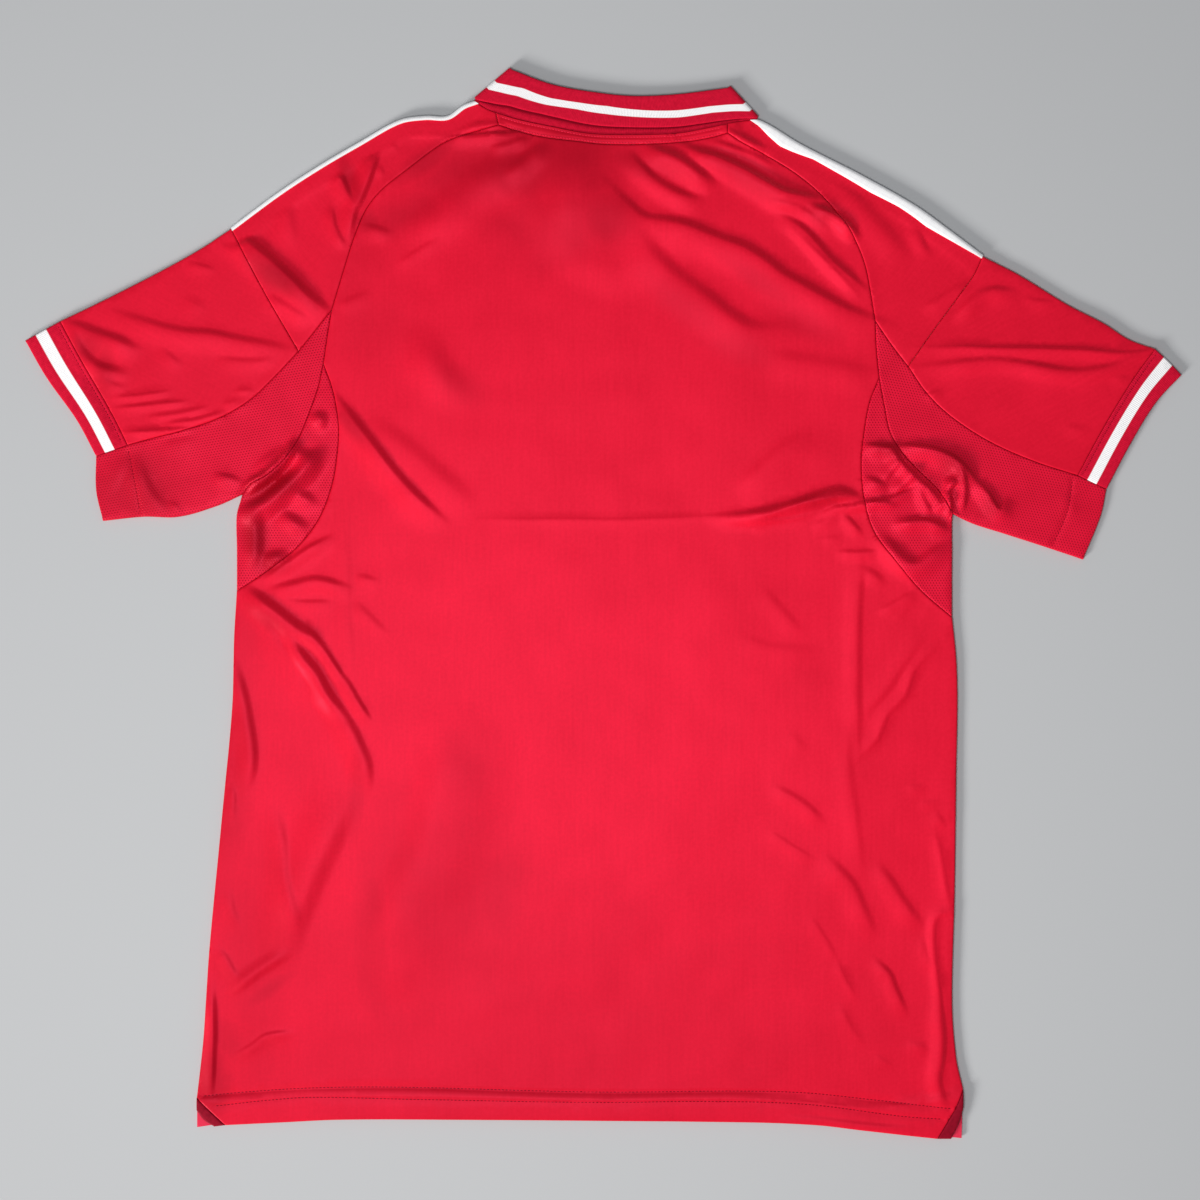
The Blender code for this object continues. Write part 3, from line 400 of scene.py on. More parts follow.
# %% The folds and creases
Fold = namedtuple("Fold", "path steep gentle height")
FOLDS = [Fold(*row) for row in [
    # from the neck and the raglan seam, down the back's right
    ([(25, 334), (47, 327), (57, 322), (68, 315), (87, 302)], 7.6, 18, 4.2),
    ([
        (46, 338), (71, 328), (80, 326), (92, 321), (105, 315), (119, 307), (132, 300), (146, 297),
        (172, 292)
    ], 6.8, 22, 5),
    ([(73, 338), (96, 331), (110, 326), (130, 314)], 3.2, 9, 1.3),
    ([(16, 332), (35, 311), (44, 304), (58, 297), (78, 293)], 6.4, 18, 2.1),
    ([
        (-8, 318), (24, 286), (32, 281), (46, 279), (60, 276), (74, 271), (89, 265), (103, 260), (117, 251),
        (130, 241), (146, 232), (162, 223), (178, 215), (224, 198)
    ], 7.2, 34, 3.3),
    ([
        (20, 283), (37, 257), (51, 244), (65, 233), (80, 222), (96, 210), (110, 203), (147, 205)
    ], 12, 34, 2.6),
    ([(119, 288), (142, 275), (153, 265), (164, 252), (176, 241), (200, 222)], 5.2, 16, 2.2),
    ([(132, 278), (155, 255), (171, 239), (192, 218)], 3.2, 11, 0.8),
    ([(108, 296), (132, 291), (146, 286), (162, 275), (176, 265)], 4.8, 14, 1.1),
    ([(146, 290), (164, 285), (176, 277), (188, 263)], 5.6, 14, 4.2),
    ([(112, 184), (155, 178), (205, 169)], 11.2, 29, 1),
    ([(-4, 350), (0, 300), (4, 250)], 50, 45, 4.5),
    # the right yoke
    ([(85, 348), (105, 336), (121, 330)], 4, 11, 1.2),
    ([(225, 278), (231, 266), (238, 250)], 5.6, 13, 1.1),
    ([(168, 312), (198, 282), (228, 246)], 11.2, 25, 1.3),
    ([(228, 213), (246, 224), (265, 237)], 4.8, 13, 0.9),
    # the left yoke
    ([(-276, 278), (-253, 261), (-239, 250), (-225, 237), (-214, 226), (-191, 208)], 7.2, 27, 4.2),
    ([(-194, 323), (-189, 309), (-185, 300), (-178, 287)], 4.8, 16, 1.8),
    ([(-159, 337), (-168, 311), (-174, 294), (-180, 282), (-185, 256)], 4.8, 14, 2.6),
    ([(-163, 321), (-160, 314), (-160, 306)], 4, 11, 0.6),
    ([(-155, 340), (-152, 334), (-149, 327)], 4, 11, 0.6),
    ([(-196, 290), (-194, 275), (-189, 264), (-184, 256)], 4, 11, 1.2),
    ([(-228, 301), (-225, 277), (-221, 256)], 8, 22, 1.1),
    ([(-246, 227), (-228, 216), (-210, 204)], 5.6, 14, 1.1),
    ([(-159, 345), (-130, 344), (-108, 345), (-72, 348)], 2.8, 9, 1),
    ([(-107, 350), (-90, 349), (-72, 350)], 2.8, 7, 0.7),
    # from the neck and the raglan seam, down the back's left
    ([(-177, 277), (-164, 273), (-150, 269)], 5.6, 14, 1.1),
    ([(-85, 331), (-69, 334), (-52, 340)], 3.6, 11, 1.2),
    ([(-40, 338), (-58, 323), (-76, 309)], 8, 18, 2.1),
    ([(-120, 338), (-97, 340), (-81, 341), (-69, 341), (-52, 344)], 2.8, 14, 1.8),
    ([(-56, 334), (-90, 314), (-126, 286), (-153, 266)], 19.2, 31, 2.2),
    ([(-152, 245), (-135, 257), (-119, 266)], 4, 11, 0.5),
    ([(-197, 216), (-180, 223), (-168, 229)], 5.6, 14, 0.6),
    ([(-128, 209), (-114, 175), (-90, 144)], 20.8, 31, 1.8),
    # from the left armhole
    ([(-202, 163), (-180, 134), (-164, 114), (-150, 96), (-137, 82), (-106, 53)], 6, 25, 3),
    ([(-175, 143), (-128, 107), (-85, 68)], 14.4, 36, 1.3),
    # the left gusset and the tuck under the arm
    ([(-216, 133), (-207, 137), (-197, 138)], 8, 14, 3),
    ([(-228, 118), (-216, 109), (-202, 106)], 8, 18, 2.8),
    ([(-264, 83), (-255, 90), (-244, 97), (-233, 108), (-223, 125)], -3.2, 11, 4.4),
    ([(-262, 75), (-252, 83), (-241, 90), (-229, 102), (-219, 118)], 3.2, 12, 4.2),
    ([(-274, 64), (-253, 72), (-244, 77), (-232, 88), (-220, 99), (-203, 118)], 8, 16, 6.2),
    ([(-250, 74), (-248, 48), (-251, 20)], 9.6, 11, 3.2),
    ([(-251, 34), (-240, 36), (-228, 41)], 7.2, 13, 2.3),
    ([(-230, 85), (-215, 79), (-204, 69)], 7.2, 14, 2.5),
    ([(-236, 70), (-222, 61), (-209, 55)], 7.2, 14, 2.5),
    ([(-257, 94), (-245, 106), (-231, 116)], 6.4, 18, 1.8),
    ([(-285, 95), (-268, 92), (-258, 87)], 4.8, 14, 1.1),
    # the fan from the left gusset's foot
    ([(-194, 52), (-214, 41), (-227, 32), (-250, 16)], 4, 14, 1.8),
    ([(-248, 10), (-223, 16), (-207, 19), (-179, 11)], 5.6, 16, 2.1),
    ([(-182, 21), (-172, 20), (-160, 16)], 4.8, 13, 0.7),
    ([(-235, 5), (-214, 2), (-193, 3)], 4, 11, 0.6),
    ([(-263, 16), (-241, 0), (-227, -11), (-216, -19), (-200, -28)], 7.4, 22, 3.5),
    ([(-221, -11), (-205, -28), (-196, -41), (-182, -61)], 4, 13, 2.1),
    ([(-230, -17), (-216, -38), (-207, -49), (-198, -65), (-182, -84)], 6.6, 17, 3.5),
    ([(-188, -49), (-177, -70), (-166, -87)], 4.4, 13, 1.7),
    ([(-251, 1), (-223, -47), (-200, -79)], 6.4, 22, 1),
    ([(-181, 4), (-164, -13), (-153, -24)], 5.6, 14, 0.6),
    ([(-185, 80), (-183, -11), (-178, -70)], 6.4, 18, 0.4),
    # down the left side
    ([(-269, -30), (-260, -61), (-256, -83), (-253, -102), (-253, -120), (-261, -147)], 7.2, 17, 2.4),
    ([(-194, -66), (-182, -88), (-175, -102), (-170, -115), (-168, -141)], 7.2, 23, 2.2),
    ([
        (-170, -131), (-183, -152), (-192, -172), (-204, -198), (-216, -227), (-222, -250), (-225, -273)
    ], 17.6, 43, 3.6),
    ([(-267, -130), (-267, -144), (-268, -158)], 3.2, 9, 0.8),
    ([(-238, -139), (-231, -170), (-229, -196), (-225, -214), (-219, -242)], 7.2, 22, 1.4),
    ([(-270, -205), (-267, -223), (-261, -236)], 5.6, 14, 0.9),
    ([(-281, -247), (-273, -255), (-267, -266), (-260, -271)], 4.8, 13, 1),
    ([(-272, -287), (-253, -272), (-240, -263), (-223, -252)], -6.4, 11, 1.6),
    ([(-272, -329), (-256, -320), (-245, -312), (-220, -309)], 4, 11, 1),
    ([(-282, -269), (-281, -307), (-282, -330), (-284, -367)], 4.8, 11, 2.1),
    ([(-72, -70), (-84, -130), (-96, -185), (-118, -235), (-128, -300)], 60, 45, 3.4),
    # the crease across the back, and its sharp crest at the right
    ([(-111, 62), (-33, 62), (12, 62), (57, 63), (120, 67)], 2.4, 9, 0.4),
    ([
        (72, 63), (109, 67), (125, 70), (139, 74), (150, 78), (161, 82), (171, 84), (178, 82), (199, 70)
    ], 6.4, 13, 3.5),
    ([(92, 62), (121, 62), (139, 64), (161, 70)], 2.4, 7, 0.8),
    ([(98, 62), (116, 63), (128, 66), (139, 70), (150, 73), (162, 75), (190, 78)], -2.0, 6, 1.5),
    ([(150, 61), (168, 71), (180, 72), (191, 74), (205, 76), (216, 80), (238, 90)], 3.2, 10, 1.9),
    ([(88, 80), (112, 101), (130, 116), (151, 132)], 11.2, 29, 1.3),
    ([(172, 69), (181, 59), (190, 49)], 4, 11, 1),
    ([(148, 58), (160, 61), (171, 68)], 4, 11, 0.6),
    ([(157, 47), (173, 51)], 4, 11, 0.4),
    ([(167, 39), (184, 38), (202, 39)], 4, 11, 0.8),
    ([(184, 28), (198, 22), (207, 12)], 5.6, 14, 0.9),
    # down the right side
    ([(196, -6), (211, 2), (228, 12)], 4.8, 14, 0.9),
    ([(207, -12), (222, 0)], 2.8, 7, 0.2),
    ([(228, -7), (238, 0)], 2.8, 7, 0.2),
    ([(189, 49), (186, -19), (186, -55), (186, -121)], 5.6, 18, 1),
    ([(186, -86), (207, -62), (219, -44), (236, -23)], 5.6, 16, 0.8),
    ([(178, -120), (200, -98), (207, -82), (220, -67), (227, -48), (249, -27)], 3.2, 11, 0.9),
    ([(114, 15), (130, -3), (148, -24)], 6.4, 18, 0.5),
    ([(95, -19), (121, -29), (161, -31)], 7.2, 20, 0.4),
    ([(132, -89), (151, -108)], 6.4, 16, 0.3),
    ([(120, -129), (139, -139), (150, -147), (164, -161)], 5.6, 18, 0.9),
    ([(118, -162), (137, -175), (156, -186)], 4, 13, 0.4),
    ([(158, -177), (176, -195), (182, -202), (189, -218), (201, -246)], 6.4, 22, 1.1),
    ([(196, -184), (209, -200), (217, -213), (235, -236)], 6.4, 18, 1.1),
    ([(193, -254), (208, -267), (213, -279), (223, -301)], 4.8, 14, 1.1),
    ([(169, -256), (176, -272), (186, -288)], 2.8, 9, 0.4),
    ([(149, -223), (163, -244), (173, -262)], 4, 11, 0.3),
    ([(172, -288), (182, -309), (192, -320)], 3.2, 11, 0.4),
    ([(195, -325), (212, -335)], 4, 11, 0.3),
    ([(216, -318), (230, -319), (239, -325)], 4.8, 13, 0.5),
    ([(231, -240), (239, -268)], 4, 11, 0.4),
    ([(240, -148), (250, -163)], 4.8, 13, 0.5),
    ([(241, -158), (248, -195), (254, -227)], 3.2, 9, 0.6),
    ([(266, -225), (244, -227), (241, -234), (241, -254), (244, -280), (247, -308)], 3.2, 9, 1.1),
    ([(243, -279), (247, -314), (246, -332), (244, -347), (252, -372)], 5.6, 14, 1.6),
    ([(217, -133), (235, -131)], 4, 11, 0.4),
    ([(224, -145), (245, -141)], 4, 11, 0.4),
    ([(177, -84), (181, -130), (186, -164), (191, -208)], 6.4, 18, 0.5),
    ([(128, -370), (158, -372), (186, -376), (209, -378), (232, -377)], 4.5, 8, 1.0),
    # the right gusset and the tuck under the arm
    ([(186, 116), (202, 115), (218, 113)], 4.8, 13, 3.2),
    ([(188, 94), (198, 89), (208, 86)], 4.8, 13, 2.2),
    ([(202, 84), (211, 97), (219, 106)], 4, 11, 1.4),
    ([(208, 78), (223, 89), (230, 100)], 3.2, 11, 2),
    ([(188, 75), (202, 74), (215, 72)], 2.8, 7, 1.4),
    ([(207, 58), (225, 61), (239, 60), (253, 53)], 3.6, 13, 3.7),
    ([(199, 56), (214, 38), (225, 31), (236, 37), (253, 50)], 7.2, 18, 3.2),
    ([(228, 86), (235, 72), (240, 64)], 3.2, 9, 1.8),
    ([(237, 67), (244, 73), (252, 79)], 3.2, 9, 1.8),
    ([(206, 119), (214, 106), (226, 93), (240, 80), (251, 64)], 3.6, 12, 3.4),
    ([(249, 86), (252, 74), (253, 60)], 3, 9, 3.4),
    ([(207, 116), (234, 114), (250, 109), (261, 101), (277, 81)], 4.8, 16, 5.1),
    ([(248, 80), (259, 91)], 3.2, 9, 4.4),
    ([(259, 102), (263, 83), (261, 64)], 4, 11, 3),
    ([(270, 92), (281, 78), (287, 69), (292, 79)], 4, 14, 3),
    # along the right sleeve
    ([
        (212, 186), (263, 187), (288, 186), (322, 185), (354, 184), (381, 183), (426, 189)
    ], 2.8, 11, 1.5),
    ([
        (210, 170), (261, 176), (283, 178), (308, 175), (331, 171), (349, 170), (367, 173), (383, 179),
        (418, 196)
    ], 5.6, 16, 1.8),
    ([(250, 204), (263, 218), (272, 226), (283, 229), (303, 227)], 5.6, 16, 1.7),
    ([(303, 222), (330, 219)], 4, 11, 0.5),
    ([(231, 152), (247, 156)], 4, 11, 0.5),
    ([(330, 130), (357, 127)], 5.6, 14, 0.5),
    ([(365, 164), (384, 166)], 4, 11, 0.5),
    # from the left cuff, along the sleeve
    ([(-398, 209), (-375, 201), (-362, 196), (-348, 191), (-331, 182)], 7.2, 20, 2.4),
    ([(-387, 205), (-377, 186), (-369, 176), (-361, 172), (-340, 168)], 7.2, 16, 2.2),
    ([(-367, 169), (-357, 161), (-342, 157)], 5.6, 14, 1),
    ([
        (-368, 218), (-326, 204), (-305, 199), (-283, 197), (-264, 193), (-246, 190), (-214, 182)
    ], 6.4, 22, 1.8),
    ([(-321, 188), (-312, 179), (-302, 172)], 4.8, 13, 0.7),
    ([(-306, 224), (-284, 216)], 7.2, 18, 0.6),
    ([(-304, 249), (-279, 242)], 4, 11, 0.6),
    ([(-284, 179), (-255, 177), (-235, 179)], 4.8, 13, 0.7),
    ([(-358, 143), (-328, 145), (-297, 149)], 2.4, 7, 0.9),
    ([(-361, 150), (-337, 152), (-310, 156)], 2.4, 7, 0.7),
    ([(-321, 131), (-294, 134), (-272, 142)], 2.4, 7, 0.9),
    ([(-334, 136), (-307, 139), (-283, 145)], 2.4, 7, 0.7),
    ([(-354, 125), (-323, 126), (-293, 128)], 2.4, 7, 1),
    ([(-269, 155), (-252, 156)], 2.8, 7, 0.5),
    ([(-278, 145), (-262, 149)], 2.8, 7, 0.4),
    # the sleeves' mesh
    ([(-337, 112), (-330, 89), (-323, 78), (-309, 63)], 8.8, 23, 1.9),
    ([(-317, 75), (-309, 72), (-306, 64)], 3.2, 9, 0.8),
    ([(-285, 94), (-276, 93), (-266, 90)], 5.6, 14, 0.7),
    ([(-344, 112), (-348, 94), (-359, 76)], 8, 22, 1),
    ([(-326, 113), (-310, 119), (-292, 123)], 6.4, 16, 0.6),
    ([(327, 85), (342, 73), (345, 55)], 8.8, 22, 0.7),
]]  # fmt: skip

PRESSED_DEPTH = 0.55
PRESSED = [
    Fold(path, steep, gentle, height)
    for steep, gentle, height, paths in (
        # from the neck to the armholes
        (8, 16, 0.55, (
            [(-60, 250), (-110, 218), (-165, 184)], [(-30, 238), (-75, 184), (-112, 118)],
            [(70, 252), (120, 226), (170, 190)], [(44, 234), (86, 188), (124, 132)],
            [(-188, 122), (-150, 92), (-108, 68)], [(184, 110), (150, 86), (112, 64)],
        )),
        # from the foot of the gussets
        (6, 13, 0.55, (
            [(-252, 2), (-216, -30), (-190, -72), (-172, -118)], [(-242, 10), (-205, 2), (-168, 6)],
            [(242, -14), (212, -50), (188, -98), (178, -140)], [(246, -6), (214, -12), (178, -6)],
        )),
        # where it was packed
        (4, 6, 0.3, (
            [(-230, 62), (-80, 59), (0, 60), (120, 62), (230, 63)],
            [(-183, 40), (-184, -100), (-186, -290)], [(187, 40), (186, -110), (183, -290)],
        )),
        # towards the hem
        (9, 18, 0.5, (
            [(-148, -170), (-164, -236), (-150, -305)], [(118, -152), (150, -198), (166, -262)],
            [(198, -190), (224, -246), (240, -306)], [(-228, -214), (-250, -262), (-262, -312)],
        )),
        # the sleeves and yokes
        (6, 12, 0.5, (
            [(-392, 188), (-342, 180), (-290, 178), (-246, 184)], [(-376, 158), (-344, 152), (-318, 152)],
            [(390, 168), (330, 172), (262, 178)], [(372, 136), (344, 134), (318, 140)],
            [(-252, 266), (-226, 238), (-202, 212)], [(252, 246), (224, 226), (202, 198)],
            [(-252, 98), (-226, 110), (-206, 142)], [(244, 92), (220, 110), (204, 138)],
            [(-344, 104), (-326, 88), (-316, 72)], [(338, 86), (318, 74), (306, 60)],
        )),
    )
    for path in paths
]  # fmt: skip

# %% The sizes of the layers
WALL = 1.4  # cloth of the panels, yokes, sleeves and mesh
RIB = 1.2  # one thickness of the collar's rib strip
TAPE = 1.0  # the tape along each shoulder
GAP = 0.3  # clearance between two layers
SEAM_GAP = 0.26  # and between two pieces at a seam
HEM_EXTRA, HEM_STEP = 0.8, 6.0  # how much thicker the turned-up hem is, and how wide its step
BAND, BAND_RAMP = 11.5, 5.0  # how far the shoulder tape lifts the cloth, and the slope beyond that
NECK_RAMP = 26.0  # how far from the neck the cloth begins to rise over the collar
COLLAR_STACK = 2 * RIB + 1.5 * GAP  # half of the collar's height: two thicknesses and the clearances
COLLAR_LIFT = COLLAR_STACK - GAP / 2 - WALL
STEEPEST = 1.4  # the most that the cloth grows in height on a slope
SLOPE_STEP = 0.5  # over which a slope is measured
PATH_STEP = 5  # between two samples of a fold
UNEVEN, UNEVEN_LENGTH = 0.22, 26.0  # how much a fold's height wanders, and over what length
UNEVEN_STEP = 4  # and between two samples of that
WANDER = 0.7  # and how far it wanders sideways
FADE = 0.32  # the share of a fold over which each of its ends fades
SHORT_FADE = 0.7  # on a short fold: the share of its width
CRISP = (1.1, 2.0)  # of the steep and the gentle side: above 1, the crest is sharper than the foot
ROLL, RIPPLE = (1.9, 85.0), (0.45, 21.0)  # the lie of slack cloth: height and length of its waves
# The lanes of the noise, one for each kind of unevenness, so that no two are alike
SWAY_LANE, SWELL_LANE, PRESSED_LANE, PUCKER_LANE, LIE_LANES = 0.5, 40.5, 90, 3.3, (7.5, 8.5)
print("two layers of plain cloth:", round(2 * WALL + GAP, 2), "mm thick")


# %% Smooth steps and unevenness
def ease(share):
    """0 below 0, 1 above 1 and a smooth step between them."""
    share = np.clip(share, 0, 1)
    return share * share * (3 - 2 * share)


def wander(places, length, lane):
    """Smooth unevenness between -1 and 1 at rows of one or two numbers, the same every time."""
    lanes = np.full((len(places), 3 - places.shape[1]), lane)
    return np.array([noise.noise(place) for place in np.hstack([places / length, lanes]).tolist()])


def inside(loop, points):
    """Whether each point is inside a closed loop."""
    crossed = np.zeros(len(points), bool)
    for a, b in zip(np.roll(loop, 1, axis=0), loop):
        if a[1] != b[1]:
            beside = (a[1] > points[:, 1]) != (b[1] > points[:, 1])
            edge = a[0] + (points[:, 1] - a[1]) / (b[1] - a[1]) * (b[0] - a[0])
            crossed ^= beside & (points[:, 0] < edge)
    return crossed


print("halfway up a smooth step:", float(ease(0.5)))

# %% Where the cloth rises
NECK_LOOP = np.vstack(
    [
        chain(["neck_left", "neck_back", "neck_right"])[0],
        chain(["binding_end_right", "neck_front", "binding_end_left"])[0],
    ]
)
HEM_CURVE = smooth(HEM_LINE, 12)  # long and nearly straight, so a few samples are enough
FOLD_PATHS = [smooth(fold.path, PATH_STEP) for fold in FOLDS]
PRESSED_PATHS = [smooth(fold.path, PATH_STEP) for fold in PRESSED]


def tape_rise(points):
    """How high the lower layer lies over the part of the shoulder tape that is under it."""
    left, right = (np.abs(nearest(CURVES[f"shoulder_{s}"][::3], points)[0]) for s in SIDES)
    return (TAPE + GAP) * ease(1 - (np.minimum(left, right) - BAND) / BAND_RAMP)


def neck_rise(points):
    """How far the upper layer is lifted by the front of the collar under it."""
    near = np.abs(nearest(NECK_LOOP[::3], points)[0])
    return COLLAR_LIFT * np.where(inside(NECK_LOOP, points), 1.0, ease(1 - near / NECK_RAMP))


def hem_extra(points):
    """How much thicker the cloth is in the turned-up hem."""
    return HEM_EXTRA * ease(-nearest(HEM_CURVE, points)[0] / HEM_STEP)


print("points round the neck:", len(NECK_LOOP))


# %% The height of the folds
def facing_of(fold, path):
    """1 where the steep side is to the left of the path, and -1 where it is to the right."""
    to_upper_right = left_of(path[-1:] - path[:1])[0].sum() > 0
    return 1.0 if to_upper_right == (fold.steep > 0) else -1.0


def fold_height(fold, path, lane, points):
    """The height of one fold at these points."""
    height = np.zeros(len(points))
    steep = abs(fold.steep)
    near = close_to(path, points, steep + fold.gentle + WANDER)
    if not len(near):
        return height
    away, along = nearest(path, points[near])
    total = length_of(path)
    steps = np.arange(0, total + UNEVEN_STEP, UNEVEN_STEP)
    sway, swell = (
        np.interp(along, steps, wander(steps[:, None], UNEVEN_LENGTH, lane + shift))
        for shift in (SWAY_LANE, SWELL_LANE)
    )
    trough = 1.0 if fold.height > 0 else -1.0
    across = (away * facing_of(fold, path) + WANDER * sway) * trough + steep / 2
    share = np.clip(across / np.where(across > 0, steep, fold.gentle), -1, 1)
    fade = min(max(FADE, SHORT_FADE * (steep + fold.gentle) / total), 0.5)
    taper = ease(along / total / fade) * ease((1 - along / total) / fade)
    hump = ((1 + np.cos(math.pi * share)) / 2) ** np.where(across > 0, *CRISP)
    height[near] = fold.height * (1 + UNEVEN * swell) * taper * hump
    return height


def together(folds, paths, first_lane, points):
    """The height of these folds together."""
    lanes = range(first_lane, first_lane + len(folds))
    return sum(fold_height(fold, path, lane, points) for fold, path, lane in zip(folds, paths, lanes))


def folds_at(points):
    """The height of all the folds of the upper layer."""
    return together(FOLDS, FOLD_PATHS, 0, points)


def pressed_at(points):
    """How far the floor's side is lifted by the creases that are pressed into it."""
    return np.clip(together(PRESSED, PRESSED_PATHS, PRESSED_LANE, points), 0, PRESSED_DEPTH)


def lie_at(points):
    """The height of slack cloth over what is under it: its folds, and low waves all over."""
    waves = sum(
        height * (1 + wander(points, length, lane)) / 2
        for lane, (height, length) in zip(LIE_LANES, (ROLL, RIPPLE))
    )
    free = 1 - tape_rise(points) / (TAPE + GAP)
    return np.maximum((folds_at(points) + waves) * free, 0)


print("folds and creases:", len(FOLDS))


# %% The heights of the layers
def lower_layer(points):
    """The heights of the lower layer's underside and of its upper side."""
    under = tape_rise(points)
    return under, under + WALL + hem_extra(points)


def upper_layer(points):
    """The heights of the upper layer's underside and of its upper side."""
    lie = lie_at(points)
    rises = (lie_at(points + step) - lie for step in ((SLOPE_STEP, 0), (0, SLOPE_STEP)))
    slope = np.hypot(*rises) / SLOPE_STEP
    extra = hem_extra(points)
    under = WALL + extra + GAP + np.maximum(tape_rise(points), neck_rise(points)) + lie
    return under, under + (WALL + extra) * np.minimum(np.sqrt(1 + slope**2), STEEPEST)


MIDDLE = np.zeros((1, 2))
print("the back over the middle of the floor plan:", round(float(upper_layer(MIDDLE)[1][0]), 2), "mm")

# %% [markdown]
# ## Sewing that shows in the surface
#
# Needle thread pulls the cloth down along its row, and a seam puckers the cloth beside it a little.
# Both are small, but in low light they are what tells sewn cloth from a cut sheet. The rows of
# stitching are listed here, because they dent the cloth and carry thread later on. Each is a curve
# of its own or runs beside a seam, and has the piece that it is sewn on and the pitch of its
# stitches.

# %% Rows of stitching
HEM_ROW = [
    (-290, -356.9), (-258.5, -354.0), (-210.6, -351.1), (-151.9, -350.4), (-2.5, -354.0),
    (99.7, -353.3), (148.3, -354.7), (196.8, -359.8), (252, -365.9),
]  # fmt: skip
HEM_ROW_LOWER = [
    (-281, -363.9), (-243.2, -359.8), (-210.6, -357.6), (-132.3, -359.1), (-2.5, -361.2),
    (80.1, -360.5), (148.3, -362.7), (217.1, -371.4), (247, -373.6),
]  # fmt: skip
SLEEVE_HEM_LEFT = [(-344.5, 111), (-340, 90), (-336, 66)]
SLEEVE_HEM_RIGHT = [(340, 89), (336, 66), (326, 43)]
ROW_STEP = 2.4  # between two samples of a row
ROW_DEPTH, ROW_WIDTH = 0.42, 1.5  # of the dent that a row makes, to each side
HEM_PITCH, BINDING_PITCH, CUFF_PITCH = 2.7, 2.2, 2.5


def beside(seam, away, short=2):
    """The curve this far to the left of a seam, that many samples short of both of its ends."""
    return aside(CURVES[seam], away)[short:-short]


Row = namedtuple("Row", "curve piece pitch")
ROWS = {
    "hem_upper": Row(smooth(HEM_ROW, ROW_STEP), "back_panel", HEM_PITCH),
    "hem_lower": Row(smooth(HEM_ROW_LOWER, ROW_STEP), "back_panel", HEM_PITCH),
    "binding_upper": Row(beside("neck_back", -2.0), "neck_binding", BINDING_PITCH),
    "binding_lower": Row(beside("binding_edge", 1.3), "back_panel", BINDING_PITCH),
    "sleeve_left": Row(beside("cuff_seam_left", -3.0, 1), "cuff_left", CUFF_PITCH),
    "sleeve_right": Row(beside("cuff_seam_right", 3.0, 1), "cuff_right", CUFF_PITCH),
    "sleeve_hem_left": Row(smooth(SLEEVE_HEM_LEFT, ROW_STEP), "sleeve_mesh_left", HEM_PITCH),
    "sleeve_hem_right": Row(smooth(SLEEVE_HEM_RIGHT, ROW_STEP), "sleeve_mesh_right", HEM_PITCH),
}
FRONT_ROWS = {
    "front_hem_upper": Row(beside("hem_front", 21.5), "front_panel", HEM_PITCH),
    "front_hem_lower": Row(beside("hem_front", 14.5), "front_panel", HEM_PITCH),
}
SEWN = ("armhole", "gusset", "mesh_edge", "yoke_seam", "raglan")
PUCKERED = [f"{seam}_{side}" for seam in SEWN for side in SIDES]
PUCKER, PUCKER_LENGTH, PUCKER_REACH = 0.34, 9.0, 8.0  # a ripple's height, length and reach
PUCKER_SLANT, PUCKER_FALL = 0.35, 1.5  # how far it leans along the seam, and how fast it fades


def row_dents(points, rows):
    """How deep the rows of stitching pull the cloth in."""
    dent = np.zeros(len(points))
    for row in rows.values():
        near = close_to(row.curve, points, 2 * ROW_WIDTH)
        if len(near):
            away = np.clip(np.abs(nearest(row.curve, points[near])[0]) / ROW_WIDTH, 0, 1)
            dent[near] = np.maximum(dent[near], ROW_DEPTH * (1 - away**2) ** 2)
    return dent


def puckers(points):
    """Small ripples across the seams, which fade a little way off."""
    height = np.zeros(len(points))
    for lane, name in enumerate(PUCKERED):
        near = close_to(CURVES[name], points, PUCKER_REACH)
        if not len(near):
            continue
        away, along = nearest(CURVES[name], points[near])
        places = along[:, None] + PUCKER_SLANT * away[:, None]
        ripple = wander(places, PUCKER_LENGTH, lane + PUCKER_LANE)
        fade = np.clip(1 - np.abs(away) / PUCKER_REACH, 0, 1) ** PUCKER_FALL
        height[near] += PUCKER * (0.5 + ripple) * fade
    return np.maximum(height, 0)


print("rows of stitching:", len(ROWS) + len(FRONT_ROWS), "puckered seams:", len(PUCKERED))

# %% [markdown]
# ## A shell of cloth
#
# Every panel here is a thin closed shell: an upper skin, an underside and an edge. The plan of the
# piece is filled with points, close together at seams, stitching and folds and wider apart on plain
# cloth, and `delaunay_2d_cdt` joins them with triangles that keep to the outline. Each point is then
# lifted to its two heights. A cloth simulation would find folds of its own, but these folds have to
# lie in chosen places, so they are listed.
#
# Sewn and cut edges roll over, so the last two millimetres beside an edge drop away. A sleeve or a
# cuff is one piece folded over, and its two layers are joined round a rounded nose.

# %% How close the points lie
# Between two points of plain cloth, of cloth near seams and folds, and of the layer below
PLAIN_SPACING, FINE_SPACING, UNDER_SPACING = 4.3, 2.5, 7.0
PLAIN_ROOM, FINE_ROOM, UNDER_ROOM = 0.66, 0.62, 0.6  # shares of it that must be free round a point
ROW_ROOM, BAND_ROOM, PRESSED_ROOM, FOLD_ROOM = 0.55, 2.0, 1.6, 0.95  # round the points of each kind of row
ROW_RATIO, SHIFT = 0.87, 0.16  # of the spacing: from row to row, and how far each point is shifted
FINE_REACH = 8.0  # how far beside a seam the points stay close together
FLAT_ENOUGH = 0.04  # a fold lower than this needs no close points
EDGE_RINGS = (0.3, 0.7, 1.4)  # how far inside the edge each ring of points runs
RING_LOW, RING_HIGH = 0.8, 1.4  # shares of its depth between which a ring's point is kept
SEAM_DROPS = (0.6, 0.22, 0.05, 0.0)  # at the edge and at each ring inside it
FREE_DROPS = (0.85, 0.42, 0.12, 0.0)
